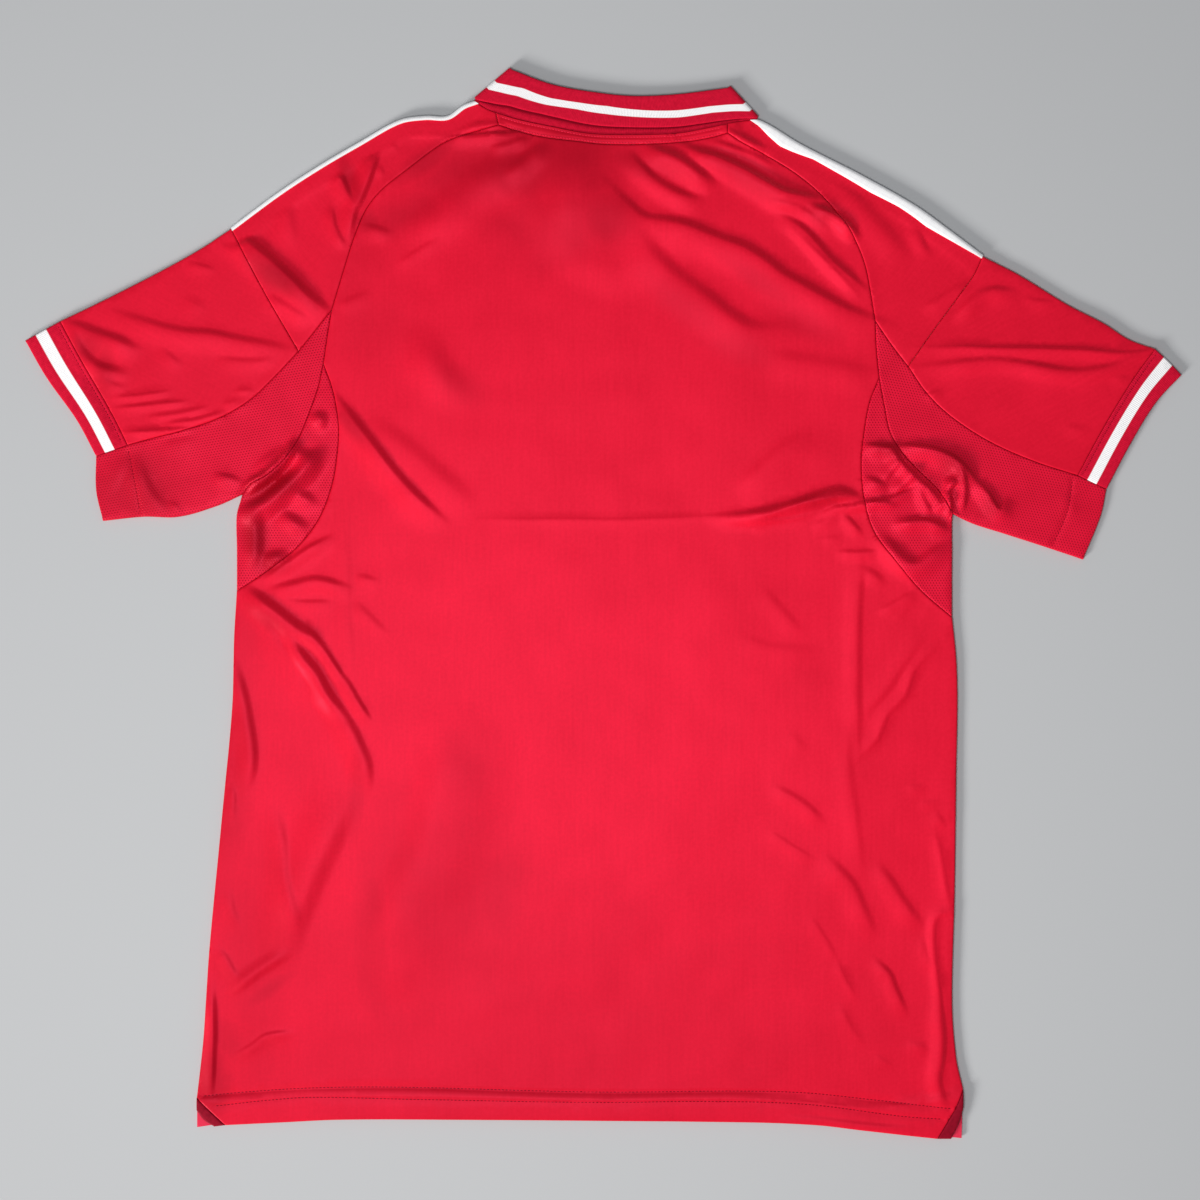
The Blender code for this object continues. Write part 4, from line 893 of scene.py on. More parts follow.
# The seams whose names begin like this are free edges
FREE_EDGES = ("side_", "hem_", "front_side", "sleeve_edge", "cuff_edge", "vent_outer", "vent_hem")
CORNER_ROOM = 0.5  # round the corner at each end of a fold
SMALL_FOLD = 8.5  # folds with a side narrower than this get rows of points of their own
SMALL_FOLD_STEP = 2.2
# Where those rows run: shares of the gentle side and of the steep side, from the crest
ON_GENTLE, ON_STEEP = (-0.6, -0.35, -0.15), (0, 0.25, 0.5, 0.75, 1)
draw = np.random.default_rng(11)
print("millimetres between points:", FINE_SPACING, "on folds,", PLAIN_SPACING, "on plain cloth")


# %% Helpers for points
def inset(points, owners, fold, fold_depth, cut_depth):
    """A closed loop moved inwards: by one depth along its fold and by another along its cut edges."""
    steps = np.roll(points, -1, axis=0) - points
    depths = np.where(owners == fold, fold_depth, cut_depth).astype(float)
    return points + corner_moves(np.roll(steps, 1, axis=0), steps, np.roll(depths, 1), depths)


def edge_of(points, owners, fold):
    """The edge of a piece, half a gap inside its seams, and how it moves for each millimetre of wall."""
    edge, further = (inset(points, owners, fold, depth, SEAM_GAP / 2) for depth in (0, 1))
    return edge, further - edge


def within(loop, points):
    """Those of the points that lie inside a closed loop."""
    points = points[close_to(loop, points, 0)]
    return points[inside(loop, points)]


def thinned(points, apart, kept):
    """Those of the points that are at least this far from the kept ones and from each other."""
    cells = {}
    for x, y in kept:
        cells.setdefault((int(x // apart), int(y // apart)), []).append((x, y))
    chosen = []
    for x, y in points:
        i, j = int(x // apart), int(y // apart)
        near = [q for a in (i - 1, i, i + 1) for b in (j - 1, j, j + 1) for q in cells.get((a, b), ())]
        if all((x - u) ** 2 + (y - v) ** 2 >= apart * apart for u, v in near):
            chosen.append((x, y))
            cells.setdefault((i, j), []).append((x, y))
    return np.array(chosen, float).reshape(-1, 2)


def lattice(low, high, spacing):
    """Staggered rows of points over a box, each shifted a little so that no grid shows."""
    columns = np.arange(low[0], high[0] + spacing, spacing)
    rows = np.arange(low[1], high[1] + spacing, spacing * ROW_RATIO)
    xs, ys = np.meshgrid(columns, rows)
    xs[1::2] += spacing / 2
    points = np.stack([xs.ravel(), ys.ravel()], axis=1)
    return points + draw.uniform(-SHIFT, SHIFT, points.shape) * spacing


# %% Rows of points
def fold_rows(folds, paths):
    """Rows of points along the crest and the feet of every narrow fold."""
    rows = []
    for fold, path in zip(folds, paths):
        steep = abs(fold.steep)
        if steep > SMALL_FOLD:
            continue
        facing = facing_of(fold, path) * (1.0 if fold.height > 0 else -1.0)
        across = [share * fold.gentle for share in ON_GENTLE] + [share * steep for share in ON_STEEP]
        fine_path = smooth(fold.path, SMALL_FOLD_STEP)
        rows += [aside(fine_path, (away - steep / 2) * facing) for away in across]
    return np.vstack(rows)


def row_lines():
    """Rows of points along the stitching and along the step of the hem."""
    lines = [
        aside(row.curve, away)
        for row in (*ROWS.values(), *FRONT_ROWS.values())
        for away in (-ROW_WIDTH, -0.4 * ROW_WIDTH, 0.4 * ROW_WIDTH, ROW_WIDTH)
    ]
    return np.vstack([*lines, HEM_CURVE, aside(HEM_CURVE, -HEM_STEP)])


def band_lines():
    """Rows of points along the top, the middle and the foot of the slope beside each shoulder tape."""
    depths = (BAND, BAND + BAND_RAMP / 2, BAND + BAND_RAMP)
    sides = zip(SIDES, (1, -1))
    return np.vstack([aside(CURVES[f"shoulder_{s}"], inwards * d) for s, inwards in sides for d in depths])


FOLD_ROWS, PRESSED_ROWS = fold_rows(FOLDS, FOLD_PATHS), fold_rows(PRESSED, PRESSED_PATHS)
ROW_LINES, BAND_LINES = row_lines(), band_lines()
SEAM_POINTS = np.vstack([CURVES[name] for name in PUCKERED])
print("points along folds and rows:", len(FOLD_ROWS) + len(ROW_LINES))

# %% The plan of a piece
BOTH, UPPER, LOWER = "both", "upper", "lower"
Plan = namedtuple("Plan", "points drops loop edge inward turn")


def fine_zone(points):
    """Whether each point lies on a fold or near a seam."""
    tree = kdtree.KDTree(len(SEAM_POINTS))
    for i, (x, y) in enumerate(SEAM_POINTS):
        tree.insert((x, y, 0), i)
    tree.balance()
    by_seam = np.array([tree.find((x, y, 0))[2] < FINE_REACH for x, y in points], bool)
    return by_seam | (np.abs(folds_at(points)) > FLAT_ENOUGH)


def plan_of(names, layer):
    """The points of a piece, how far the skin drops at each, its outline and where that can move."""
    points, owners = outline(names)
    fold = names[0] if layer == BOTH else None
    edge, inward = edge_of(points, owners, fold)
    on_fold = (owners == fold) | (np.roll(owners, 1) == fold)
    turn = int(on_fold.sum())
    for end in (0, 1) if fold else ():  # a corner moves past the points nearest to it
        corner = end * (turn - 1)
        moved = np.linalg.norm(edge[corner] + inward[corner] * WALL - points[corner]) + CORNER_ROOM
        kept = np.linalg.norm(points - points[corner], axis=1) > moved
        kept[corner] = True
        points, owners, edge, inward, on_fold = (a[kept] for a in (points, owners, edge, inward, on_fold))
        turn = int(on_fold.sum())
    loop = edge + inward * WALL
    free = np.array([o.startswith(FREE_EDGES) for o in owners])
    free |= np.roll(free, 1)
    parts, drops = [loop], [np.where(on_fold, 0, np.where(free, FREE_DROPS[0], SEAM_DROPS[0]))]
    for i, depth in enumerate(EDGE_RINGS, 1):
        ring = inset(points, owners, fold, WALL, SEAM_GAP / 2 + depth)
        away = nearest(np.vstack([loop, loop[:1]]), ring)[0]
        kept = (away > RING_LOW * depth) & (away < RING_HIGH * depth) & ~on_fold
        parts.append(ring[kept])
        drops.append(np.where(free, FREE_DROPS[i], SEAM_DROPS[i])[kept])
    low, high = loop.min(axis=0), loop.max(axis=0)
    groups = [(ROW_LINES, ROW_ROOM), (BAND_LINES, BAND_ROOM)]
    if layer == LOWER:
        groups.append((PRESSED_ROWS, PRESSED_ROOM))
        groups.append((lattice(low, high, UNDER_SPACING), UNDER_SPACING * UNDER_ROOM))
    else:
        fine = within(loop, lattice(low, high, FINE_SPACING))
        groups += [(FOLD_ROWS, FOLD_ROOM), (fine[fine_zone(fine)], FINE_SPACING * FINE_ROOM)]
        groups.append((lattice(low, high, PLAIN_SPACING), PLAIN_SPACING * PLAIN_ROOM))
    for group, apart in groups:
        chosen = thinned(within(loop, group), apart, np.vstack(parts))
        parts.append(chosen)
        drops.append(np.zeros(len(chosen)))
    return Plan(np.vstack(parts), np.concatenate(drops), loop, edge, inward, turn)


# %% The triangles of a plan
def triangles(plan):
    """The triangles between the points of a plan, anticlockwise and within its outline."""
    count = len(plan.loop)
    rim = [(i, (i + 1) % count) for i in range(count)]
    result = geometry.delaunay_2d_cdt([Vector(p) for p in plan.points], rim, [], 1, 1e-6)
    source = np.array([origins[0] for origins in result[3]])
    faces = source[np.array(result[2])]
    a, b, c = (plan.points[faces[:, k]] for k in range(3))
    turned = (b - a)[:, 0] * (c - a)[:, 1] - (b - a)[:, 1] * (c - a)[:, 0] < 0
    faces[turned] = faces[turned][:, ::-1]
    return faces


# %% The skins of a piece
NOSE_ANGLES = np.radians((67.5, 45, 22.5, 0, -22.5, -45, -67.5))


def with_heights(points, heights):
    """Rows of x, y and z."""
    return np.column_stack([points, heights])


def closed_wall(outer, inner, faces, quads):
    """One closed body between two skins with the same faces, as points and lists of faces."""
    count = len(outer)
    faces = faces.tolist() + quads
    edges = {(face[i - 1], face[i]) for face in faces for i in range(len(face))}
    rim = [(b, a, a + count, b + count) for a, b in edges if (b, a) not in edges]
    back = [tuple(v + count for v in reversed(face)) for face in faces]
    return np.vstack([outer, inner]), faces + back + sorted(rim)


def ring_quads(rows):
    """The quads between each row of point numbers and the next."""
    return [
        (a[i + 1], a[i], b[i], b[i + 1]) for a, b in zip(rows, rows[1:]) for i in range(len(a) - 1)
    ]


def nose(plan, high, low, inner_high, inner_low):
    """The rings round a folded edge, from the upper layer down to the lower one."""
    outer, inner = [], []
    turn = slice(0, plan.turn)
    for angle in NOSE_ANGLES:
        out = plan.edge[turn] + plan.inward[turn] * WALL * (1 - math.cos(angle))
        rise = math.sin(angle)
        outer.append(with_heights(out, (high + low) / 2 + (high - low) / 2 * rise))
        heights = (inner_high + inner_low) / 2 + (inner_high - inner_low) / 2 * rise
        inner.append(with_heights(plan.loop[turn], heights))
    return np.vstack(outer), np.vstack(inner)


def floor_dents(points):
    """How far the floor's side is pulled in by stitching and by pressed creases."""
    return np.maximum(pressed_at(points), row_dents(points, FRONT_ROWS))


def cloth_shell(names, layer):
    """A piece of cloth in one layer, or in both of them and round its fold."""
    plan = plan_of(names, layer)
    faces = triangles(plan)
    under, over = lower_layer(plan.points)
    floor_side = under + np.maximum(plan.drops, floor_dents(plan.points))
    if layer == LOWER:
        outer = with_heights(plan.points, floor_side)
        return plan, *closed_wall(outer, with_heights(plan.points, over), faces[:, ::-1], [])
    bottom, top = upper_layer(plan.points)
    ripples = puckers(plan.points)
    bottom = bottom + ripples
    top = top + ripples - plan.drops - row_dents(plan.points, ROWS)
    outer, inner = with_heights(plan.points, top), with_heights(plan.points, bottom)
    if layer == UPPER:
        return plan, *closed_wall(outer, inner, faces, [])
    turn = slice(0, plan.turn)
    ring_outer, ring_inner = nose(plan, top[turn], floor_side[turn], bottom[turn], over[turn])
    first_under = len(outer) + len(ring_outer)
    starts = [0, *range(len(outer), first_under + 1, plan.turn)]
    rows = [range(start, start + plan.turn) for start in starts]
    outer = np.vstack([outer, ring_outer, with_heights(plan.points, floor_side)])
    inner = np.vstack([inner, ring_inner, with_heights(plan.points, over)])
    skins = np.vstack([faces, faces[:, ::-1] + first_under])
    return plan, *closed_wall(outer, inner, skins, ring_quads(rows))

# %% [markdown]
# ## Knitted finishes
#
# All the cloth is knitted polyester. The satin has fine upright wales and a soft gloss, the mesh has
# rows of small closed eyelets, and the collar and cuffs are a matt rib. These patterns are too fine
# to model, so they are made in the materials, from a UV map in millimetres that turns with the
# grain of each piece. Each pattern is a node group that gives a mask or a height, and the shader
# itself stays in the material.

# %% Helpers for nodes
class Graph:
    """Adds nodes to a tree, with values or other nodes' outputs for their inputs, in order.

    None leaves an input as it is.
    """

    def __init__(self, tree):
        self.tree = tree

    def put(self, socket, value):
        """Links another node's output to a socket, or sets the socket to a value."""
        if isinstance(value, bpy.types.NodeSocket):
            self.tree.links.new(value, socket)
        elif value is not None:
            socket.default_value = value

    def add(self, kind, *values, out=0, **settings):
        """One of the outputs of a new node."""
        made = self.tree.nodes.new(f"ShaderNode{kind}")
        for key, value in settings.items():
            setattr(made, key, value)
        for socket, value in zip(made.inputs, values):
            self.put(socket, value)
        return made.outputs[out]

    def math(self, operation, *values):
        return self.add("Math", *values, operation=operation)

    def noise(self, vector, scale, detail=2.0):
        return self.add("TexNoise", vector, None, scale, detail)

    def spread(self, value, low, high, to_low=0, to_high=1):
        """A value moved from one range to another, and kept within it."""
        return self.add("MapRange", value, low, high, to_low, to_high)

    def mixed(self, share, first, second):
        """The first colour where the share is 0, and the second where it is 1."""
        made = self.tree.nodes.new("ShaderNodeMix")
        made.data_type = "RGBA"
        for name, value in (("Factor", share), ("A", first), ("B", second)):
            self.put(next(s for s in made.inputs if s.name == name and s.enabled), value)
        return next(s for s in made.outputs if s.enabled)


def effect(name, outputs, make):
    """A node group that works from a vector in millimetres and gives these values."""
    tree = bpy.data.node_groups.new(name, "ShaderNodeTree")
    tree.interface.new_socket("Vector", in_out="INPUT", socket_type="NodeSocketVector")
    for output in outputs:
        tree.interface.new_socket(output, in_out="OUTPUT", socket_type="NodeSocketFloat")
    entry, leave = tree.nodes.new("NodeGroupInput"), tree.nodes.new("NodeGroupOutput")
    for socket, value in zip(leave.inputs, make(Graph(tree), entry.outputs[0])):
        tree.links.new(value, socket)
    return tree


def use(graph, tree, vector):
    """The outputs of a node group that is fed with this vector."""
    return list(graph.add("Group", vector, node_tree=tree).node.outputs)


# %% The patches of painted shade
SHADE_PATCHES_FROM = (1.6, 2.4)  # the heights, in millimetres, between which the patches of painted shade begin
# Soft patches of painted shade: middle and half widths in millimetres, turn in degrees
Patch = namedtuple("Patch", "x y wide tall turn depth")
SHADE_PATCHES = [Patch(*row) for row in [
    (-118, -222, 92, 132, 0, 0.34),  # lower back
    (-166, -262, 26, 84, 0, 0.36),
    (-167, -220, 22, 44, 0, 0.44),
    (-76, -214, 34, 62, 0, 0.36),
    (-99, -128, 34, 60, 0, 0.24),
    (-60, -330, 380, 185, 0, 0.25),
    (-330, -60, 260, 420, 0, 0.10),  # left side
    (-252, -250, 48, 140, 0, 0.34),
    (-270, -130, 27, 190, -4, 0.36),
    (-284, -345, 22, 52, -4, 0.55),
    (-273, -316, 22, 30, 0, 0.40),
    (-178, -130, 10, 60, -3, 0.30),
    (-243, -280, 34, 12, 36, 0.52),
    (-243, -12, 30, 10, -35, 0.45),
    (19, 320, 32, 14, -28, 0.50),  # under the neck
    (5, 278, 30, 30, 0, 0.52),
    (-52, 320, 112, 44, 6, 0.60),
    (-40, 276, 56, 44, 0, 0.40),
    (-126, 323, 38, 14, 35, 0.55),
    (-144, 282, 42, 20, 25, 0.45),
    (-170, 277, 15, 12, 0, 0.50),
    (-170, 205, 50, 40, 0, 0.16),
    (-104, 159, 32, 16, -35, 0.22),
    (41, 318, 40, 13, -25, 0.40),
    (102, 306, 42, 10, -32, 0.46),
    (157, 282, 15, 10, -30, 0.50),
    (63, 213, 62, 15, -39, 0.36),
    (110, 236, 46, 11, -35, 0.38),
    (95, 188, 42, 17, -20, 0.30),
    (146, 203, 42, 15, -25, 0.30),
    (-180, 232, 34, 74, 0, 0.14),  # left sleeve and its yoke
    (-184, 310, 9, 27, 26, 0.60),
    (-235, 235, 42, 13, -38, 0.80),
    (-296, 168, 84, 64, 0, 0.14),
    (-374, 187, 18, 16, 0, 0.50),
    (-338, 82, 56, 44, 0, 0.50),
    (-361, 168, 11, 30, 0, 0.45),
    (-240, 85, 34, 14, 22, 1.00),  # left armpit
    (-253, 50, 15, 30, 8, 0.85),
    (-243, 30, 20, 14, 0, 0.70),
    (-184, 129, 25, 8, -50, 0.45),
    (207, 112, 20, 12, 0, 0.55),  # right armpit
    (253, 98, 20, 11, -45, 0.65),
    (279, 69, 10, 14, 0, 0.52),
    (160, 75, 34, 8, 12, 0.40),
]]  # fmt: skip
# The patches are painted shade
print("patches of pressed nap:", len(SHADE_PATCHES))

# %% Patterns of the knit
WALE, COURSE = 0.8, 0.62  # millimetres between two wales, and between two courses
EYELET, EYELET_SIZE = 2.1, 0.43  # between two eyelets of a row, and the radius of one
RIB_PITCH = 1.25


def knitted(graph, vector, pitch, share):
    """The height of upright rows of loops at this pitch, with the loops' own share of it."""
    u, v, _ = graph.add("SeparateXYZ", vector).node.outputs
    column = graph.math("ABSOLUTE", graph.math("SINE", graph.math("MULTIPLY", u, math.pi / pitch)))
    loops = graph.math("SINE", graph.math("MULTIPLY", v, 2 * math.pi / COURSE))
    return graph.math("MULTIPLY_ADD", loops, share, column)


def wales(graph, vector):
    """Fine wales: their height, the streaks that uneven yarn makes, and a broad unevenness."""
    height = knitted(graph, vector, WALE, 0.3)
    stretched = graph.add("VectorMath", vector, (0.55, 0.035, 1.0), operation="MULTIPLY")
    streaks = graph.math("MULTIPLY_ADD", graph.noise(vector, 0.4, 4.0), 0.6,
                         graph.math("MULTIPLY", graph.noise(stretched, 1.0, 3.0), 0.4))  # fmt: skip
    return height, streaks, graph.noise(vector, 0.022, 2.0)


def eyelets(graph, vector):
    """Two staggered sets of round eyelets, 1 in the middle of each and 0 between them."""
    u, v, _ = graph.add("SeparateXYZ", vector).node.outputs
    row = EYELET * math.sqrt(3)
    nearest_one = None
    for shift in (0, 0.5):
        away = []
        for axis, pitch in ((u, EYELET), (v, row)):
            part = graph.math("FRACT", graph.math("MULTIPLY_ADD", axis, 1 / pitch, shift))
            away.append(graph.math("MULTIPLY", graph.math("SUBTRACT", part, 0.5), pitch))
        squares = [graph.math("POWER", graph.math("ABSOLUTE", a), 2) for a in away]
        distance = graph.math("SQRT", graph.math("ADD", *squares))
        nearest_one = distance if shift == 0 else graph.math("MINIMUM", nearest_one, distance)
    hole = graph.spread(nearest_one, EYELET_SIZE * 0.75, EYELET_SIZE * 1.5, 1, 0)
    return hole, graph.noise(vector, 0.05, 2.0)


def ribs(graph, vector):
    """Upright ribs of the collar and the cuffs: their height, and uneven shade along them."""
    return knitted(graph, vector, RIB_PITCH, 0.2), graph.noise(vector, 0.35, 3.0)


# %% The groups of the patterns
def painted_shade_at(graph, vector):
    """How much painted shade a place takes: soft patches of uneven outline, on the back alone."""
    moved = graph.add("VectorMath", vector, (1, 1, 0), operation="MULTIPLY")
    drift = graph.math("MULTIPLY_ADD", graph.noise(moved, 0.03, 3.0), 0.7, -0.35)
    # pressed sums the painted shade of the patches
    pressed = 0.0
    for patch in SHADE_PATCHES:
        place, turn, size = (patch.x, patch.y, 0), math.radians(patch.turn), (patch.wide, patch.tall, 1)
        scaled = graph.add("Mapping", moved, place, (0, 0, turn), size, vector_type="TEXTURE")
        away = graph.math("ADD", graph.add("VectorMath", scaled, operation="LENGTH", out=1), drift)
        faded = graph.add("MapRange", away, 0.1, 1.1, patch.depth, 0, interpolation_type="SMOOTHSTEP")
        pressed = graph.math("MAXIMUM", faded, pressed)
    height = graph.add("SeparateXYZ", vector, out=2)
    return (graph.math("MULTIPLY", pressed, graph.spread(height, *SHADE_PATCHES_FROM)),)


WALES = effect("knit_wales", ("Height", "Streaks", "Broad"), wales)
EYELETS = effect("mesh_eyelets", ("Eyelet", "Shade"), eyelets)
RIBS = effect("rib_wales", ("Height", "Shade"), ribs)
PAINTED_SHADE_GROUP = effect("nap_pressed", ("Pressed",), painted_shade_at)
print("pattern groups:", [g.name for g in bpy.data.node_groups if "_" in g.name])

# %% The colours of the cloth
CRIMSON, CRIMSON_LIT = (0.62, 0.0036, 0.019, 1), (0.745, 0.0060, 0.028, 1)
# The eyelets' dark colour is painted shade in the holes
MESH_RED, MESH_LIT, MESH_HOLE_SHADE = (0.66, 0.0045, 0.026, 1), (0.72, 0.0055, 0.031, 1), (0.26, 0.002, 0.010, 1)
RIB_RED, RIB_DEEP = (0.66, 0.0080, 0.036, 1), (0.56, 0.0062, 0.029, 1)
# Painted shade for the collar's stand, beside and under the edge of the fall
RIB_PAINTED_SHADE = (0.14, 0.001, 0.006, 1)
# The colour of the painted shade in the patches
PAINTED_SHADE_RED = (0.30, 0.0003, 0.006, 1)
GLOSS_TINT = (1.0, 0.08, 0.17, 1)
# The darker white: a random tone on the tapes, and painted shade in the grooves of the collar's white ribs
WHITE, WHITE_GREY_AND_GROOVE_SHADE = (0.98, 0.98, 0.985, 1), (0.88, 0.88, 0.90, 1)
TAPE_RED, TAPE_DEEP = (0.27, 0.004, 0.017, 1), (0.19, 0.0025, 0.011, 1)
INSIDE_RED, INSIDE_LIT = (0.70, 0.022, 0.066, 1), (0.74, 0.040, 0.085, 1)
OBJECT_PLACE = 3  # the output of the texture coordinates that gives the place on the object
print("crimson, as linear red, green and blue:", CRIMSON[:3])


# %% Helpers for cloth materials
def cloth_material(name, roughness, sheen, specular, tint=GLOSS_TINT):
    """A cloth material without its colour: its graph, its shader and the piece's UV map in millimetres."""
    made, shader = new_material(name, {
        "Roughness": roughness, "Specular IOR Level": specular, "Specular Tint": tint,
        "Sheen Weight": sheen, "Sheen Roughness": 0.45, "Sheen Tint": tint,
    })  # fmt: skip
    graph = Graph(made.node_tree)
    return made, graph, shader, graph.add("UVMap", uv_map="cloth")


def with_painted_shade(graph, colour):
    """The colour, with the patches of painted shade laid over it."""
    place = graph.add("TexCoord", out=OBJECT_PLACE)
    place = graph.add("VectorMath", place, (1 / MM, 1 / MM, 1 / MM), operation="MULTIPLY")
    return graph.mixed(use(graph, PAINTED_SHADE_GROUP, place)[0], colour, PAINTED_SHADE_RED)


def bumped(graph, shader, height, strength, depth):
    """Gives a shader this relief, with its depth in metres."""
    graph.put(shader.inputs["Normal"], graph.add("Bump", strength, depth, None, height))


# %% Satin knit and mesh
def satin_knit(name, colour, lit):
    """Satin knit between two tones, with fine wales and patches of painted shade."""
    made, graph, shader, place = cloth_material(name, roughness=0.47, sheen=0.12, specular=1.0)
    height, streaks, broad = use(graph, WALES, place)
    uneven = graph.math("MULTIPLY_ADD", graph.spread(broad, 0.3, 0.7), 0.45,
                        graph.math("MULTIPLY", graph.spread(streaks, 0.36, 0.64), 0.55))  # fmt: skip
    graph.put(shader.inputs["Base Color"], with_painted_shade(graph, graph.mixed(uneven, colour, lit)))
    bumped(graph, shader, height, strength=0.22, depth=0.00012)
    return made


def mesh_knit():
    """Mesh with closed eyelets, each a small dimple with painted shade in it, and patches of painted shade.
    """
    made, graph, shader, place = cloth_material(
        "mesh_knit_finish", roughness=0.45, sheen=0.12, specular=1.0
    )
    hole, shade = use(graph, EYELETS, place)
    plain = graph.mixed(graph.spread(shade, 0.35, 0.65), MESH_RED, MESH_LIT)
    # Painted shade in each eyelet
    holed = graph.mixed(graph.math("MULTIPLY", hole, 0.85), plain, MESH_HOLE_SHADE)
    graph.put(shader.inputs["Base Color"], with_painted_shade(graph, holed))
    bumped(graph, shader, graph.math("MULTIPLY", hole, -1), strength=0.45, depth=0.0003)
    return made


# %% Rib knit and woven tape
def rib_knit():
    """Red rib with a white stripe knitted in, placed and given painted shade by the trim attribute."""
    made, graph, shader, place = cloth_material(
        "rib_knit_finish", roughness=0.65, sheen=0.1, specular=0.2
    )
    height, shade = use(graph, RIBS, place)
    red = graph.mixed(graph.spread(shade, 0.35, 0.65), RIB_DEEP, RIB_RED)
    # Painted shade: the white is darker in the grooves between the ribs
    white = graph.mixed(graph.spread(height, 0.0, 0.8), WHITE_GREY_AND_GROOVE_SHADE, WHITE)
    trim = graph.add("Attribute", attribute_name="trim").node.outputs["Vector"]
    stripe, has_stripe, crease = graph.add("SeparateXYZ", trim).node.outputs
    low = graph.spread(stripe, -0.02, 0.05)
    high = graph.spread(stripe, 0.95, 1.02, 1, 0)
    has_stripe = graph.spread(has_stripe, 0.85, 0.95)
    on_stripe = graph.math("MULTIPLY", graph.math("MULTIPLY", low, high), has_stripe)
    # Painted shade on the stand, darkest beside the fall's edge
    red = graph.mixed(crease, red, RIB_PAINTED_SHADE)
    graph.put(shader.inputs["Base Color"], graph.mixed(on_stripe, red, white))
    bumped(graph, shader, height, strength=0.5, depth=0.0003)
    return made


def woven_tape(name, colour, shade, roughness, tint):
    """A flat woven tape: fine ribs across it."""
    made, graph, shader, place = cloth_material(name, roughness, sheen=0.1, specular=0.4, tint=tint)
    height, uneven = use(graph, RIBS, place)
    graph.put(shader.inputs["Base Color"], graph.mixed(graph.spread(uneven, 0.3, 0.7), shade, colour))
    bumped(graph, shader, height, strength=0.3, depth=0.00015)
    return made


# %% The finishes of the pieces
FINISHES = {
    "satin_knit": satin_knit("satin_knit_finish", CRIMSON, CRIMSON_LIT),
    "mesh_knit": mesh_knit(),
    "rib_knit": rib_knit(),
    "white_tape": woven_tape("white_tape_finish", WHITE, WHITE_GREY_AND_GROOVE_SHADE, roughness=0.5, tint=(1, 1, 1, 1)),
    "vent_tape": woven_tape("vent_tape_finish", TAPE_RED, TAPE_DEEP, roughness=0.6, tint=GLOSS_TINT),
}
SATIN_INSIDE = satin_knit("satin_knit_inside", INSIDE_RED, INSIDE_LIT)
print("finishes:", sorted(FINISHES), "and", SATIN_INSIDE.name)


# %% The sewing thread
def sewing_thread(name, deep, lit):
    """Polyester thread of slightly uneven shade."""
    made, shader = new_material(name, {"Roughness": 0.6, "Specular Tint": GLOSS_TINT})
    graph = Graph(made.node_tree)
    uneven = graph.spread(graph.noise(graph.add("TexCoord", out=OBJECT_PLACE), 900.0), 0.3, 0.7)
    graph.put(shader.inputs["Base Color"], graph.mixed(uneven, deep, lit))
    return made


DARK_THREAD = sewing_thread("dark_thread", (0.13, 0.001, 0.006, 1), (0.21, 0.002, 0.010, 1))
LIT_THREAD = sewing_thread("lit_thread", (0.78, 0.014, 0.050, 1), (0.86, 0.030, 0.080, 1))
print("threads:", DARK_THREAD.name, LIT_THREAD.name)

# %% [markdown]
# ## The panels
#
# The pieces are listed with their seams in order. A piece in both layers is folded along its first
# seam: the yokes and sleeves along the shoulder, the mesh under the arm, the cuffs at the top. The
# grain is the direction of the wales, in degrees from straight up the body. Down the sleeves it
# turns with the arm.

# %% The list of pieces
ONE = ("",)  # the sides of a piece that isn't one of a pair
Piece = namedtuple("Piece", "name sides layer cloth grain rests_on seams")
PIECES = [
    Piece("front_panel", ONE, LOWER, "satin_knit", 0, "pale_floor",
          "neck_front raglan_right armhole_top_right gusset_right side_right front_side_right hem_front"
          " front_side_left side_left gusset_left armhole_top_left raglan_left"),
    Piece("back_panel", ONE, UPPER, "satin_knit", 0, "front_panel",
          "binding_edge raglan_right armhole_top_right gusset_right side_right vent_right hem_back"
          " vent_left side_left gusset_left armhole_top_left raglan_left"),
    Piece("neck_binding", ONE, UPPER, "satin_knit", 90, "collar",
          "neck_back binding_end_right binding_edge binding_end_left"),
    Piece("yoke", SIDES, BOTH, "satin_knit", 40, "pale_floor",
          "shoulder yoke_seam mesh_upper raglan binding_end neck"),
    Piece("sleeve", SIDES, BOTH, "satin_knit", 62, "pale_floor",
          "sleeve_top cuff_seam mesh_edge yoke_seam"),
    Piece("sleeve_mesh", SIDES, BOTH, "mesh_knit", 70, "pale_floor",
          "sleeve_under armhole armhole_top mesh_upper mesh_edge cuff_join sleeve_edge"),
    Piece("side_mesh", SIDES, BOTH, "mesh_knit", 0, "pale_floor", "side_fold gusset armhole"),
    Piece("cuff", SIDES, BOTH, "rib_knit", 0, "pale_floor", "cuff_fold cuff_edge cuff_join cuff_seam"),
    Piece("vent_tape", SIDES, UPPER, "vent_tape", 45, "front_panel", "vent vent_hem vent_outer vent_edge"),
]  # fmt: skip
CUFF_STRIPES = {"left": (0.295, 0.60), "right": (0.36, 0.68)}  # the white stripe, from the cuff's edge
SMOOTH_UP_TO = math.radians(55)
NOSE_STRETCH = (1.0, 0.4)  # how much the height adds across the wales and along them


def sided(names, side):
    """A list of these names, with the side of the jersey added where there is one."""
    return [f"{name}_{side}" if side else name for name in names.split()]


print("kinds of piece:", len(PIECES))


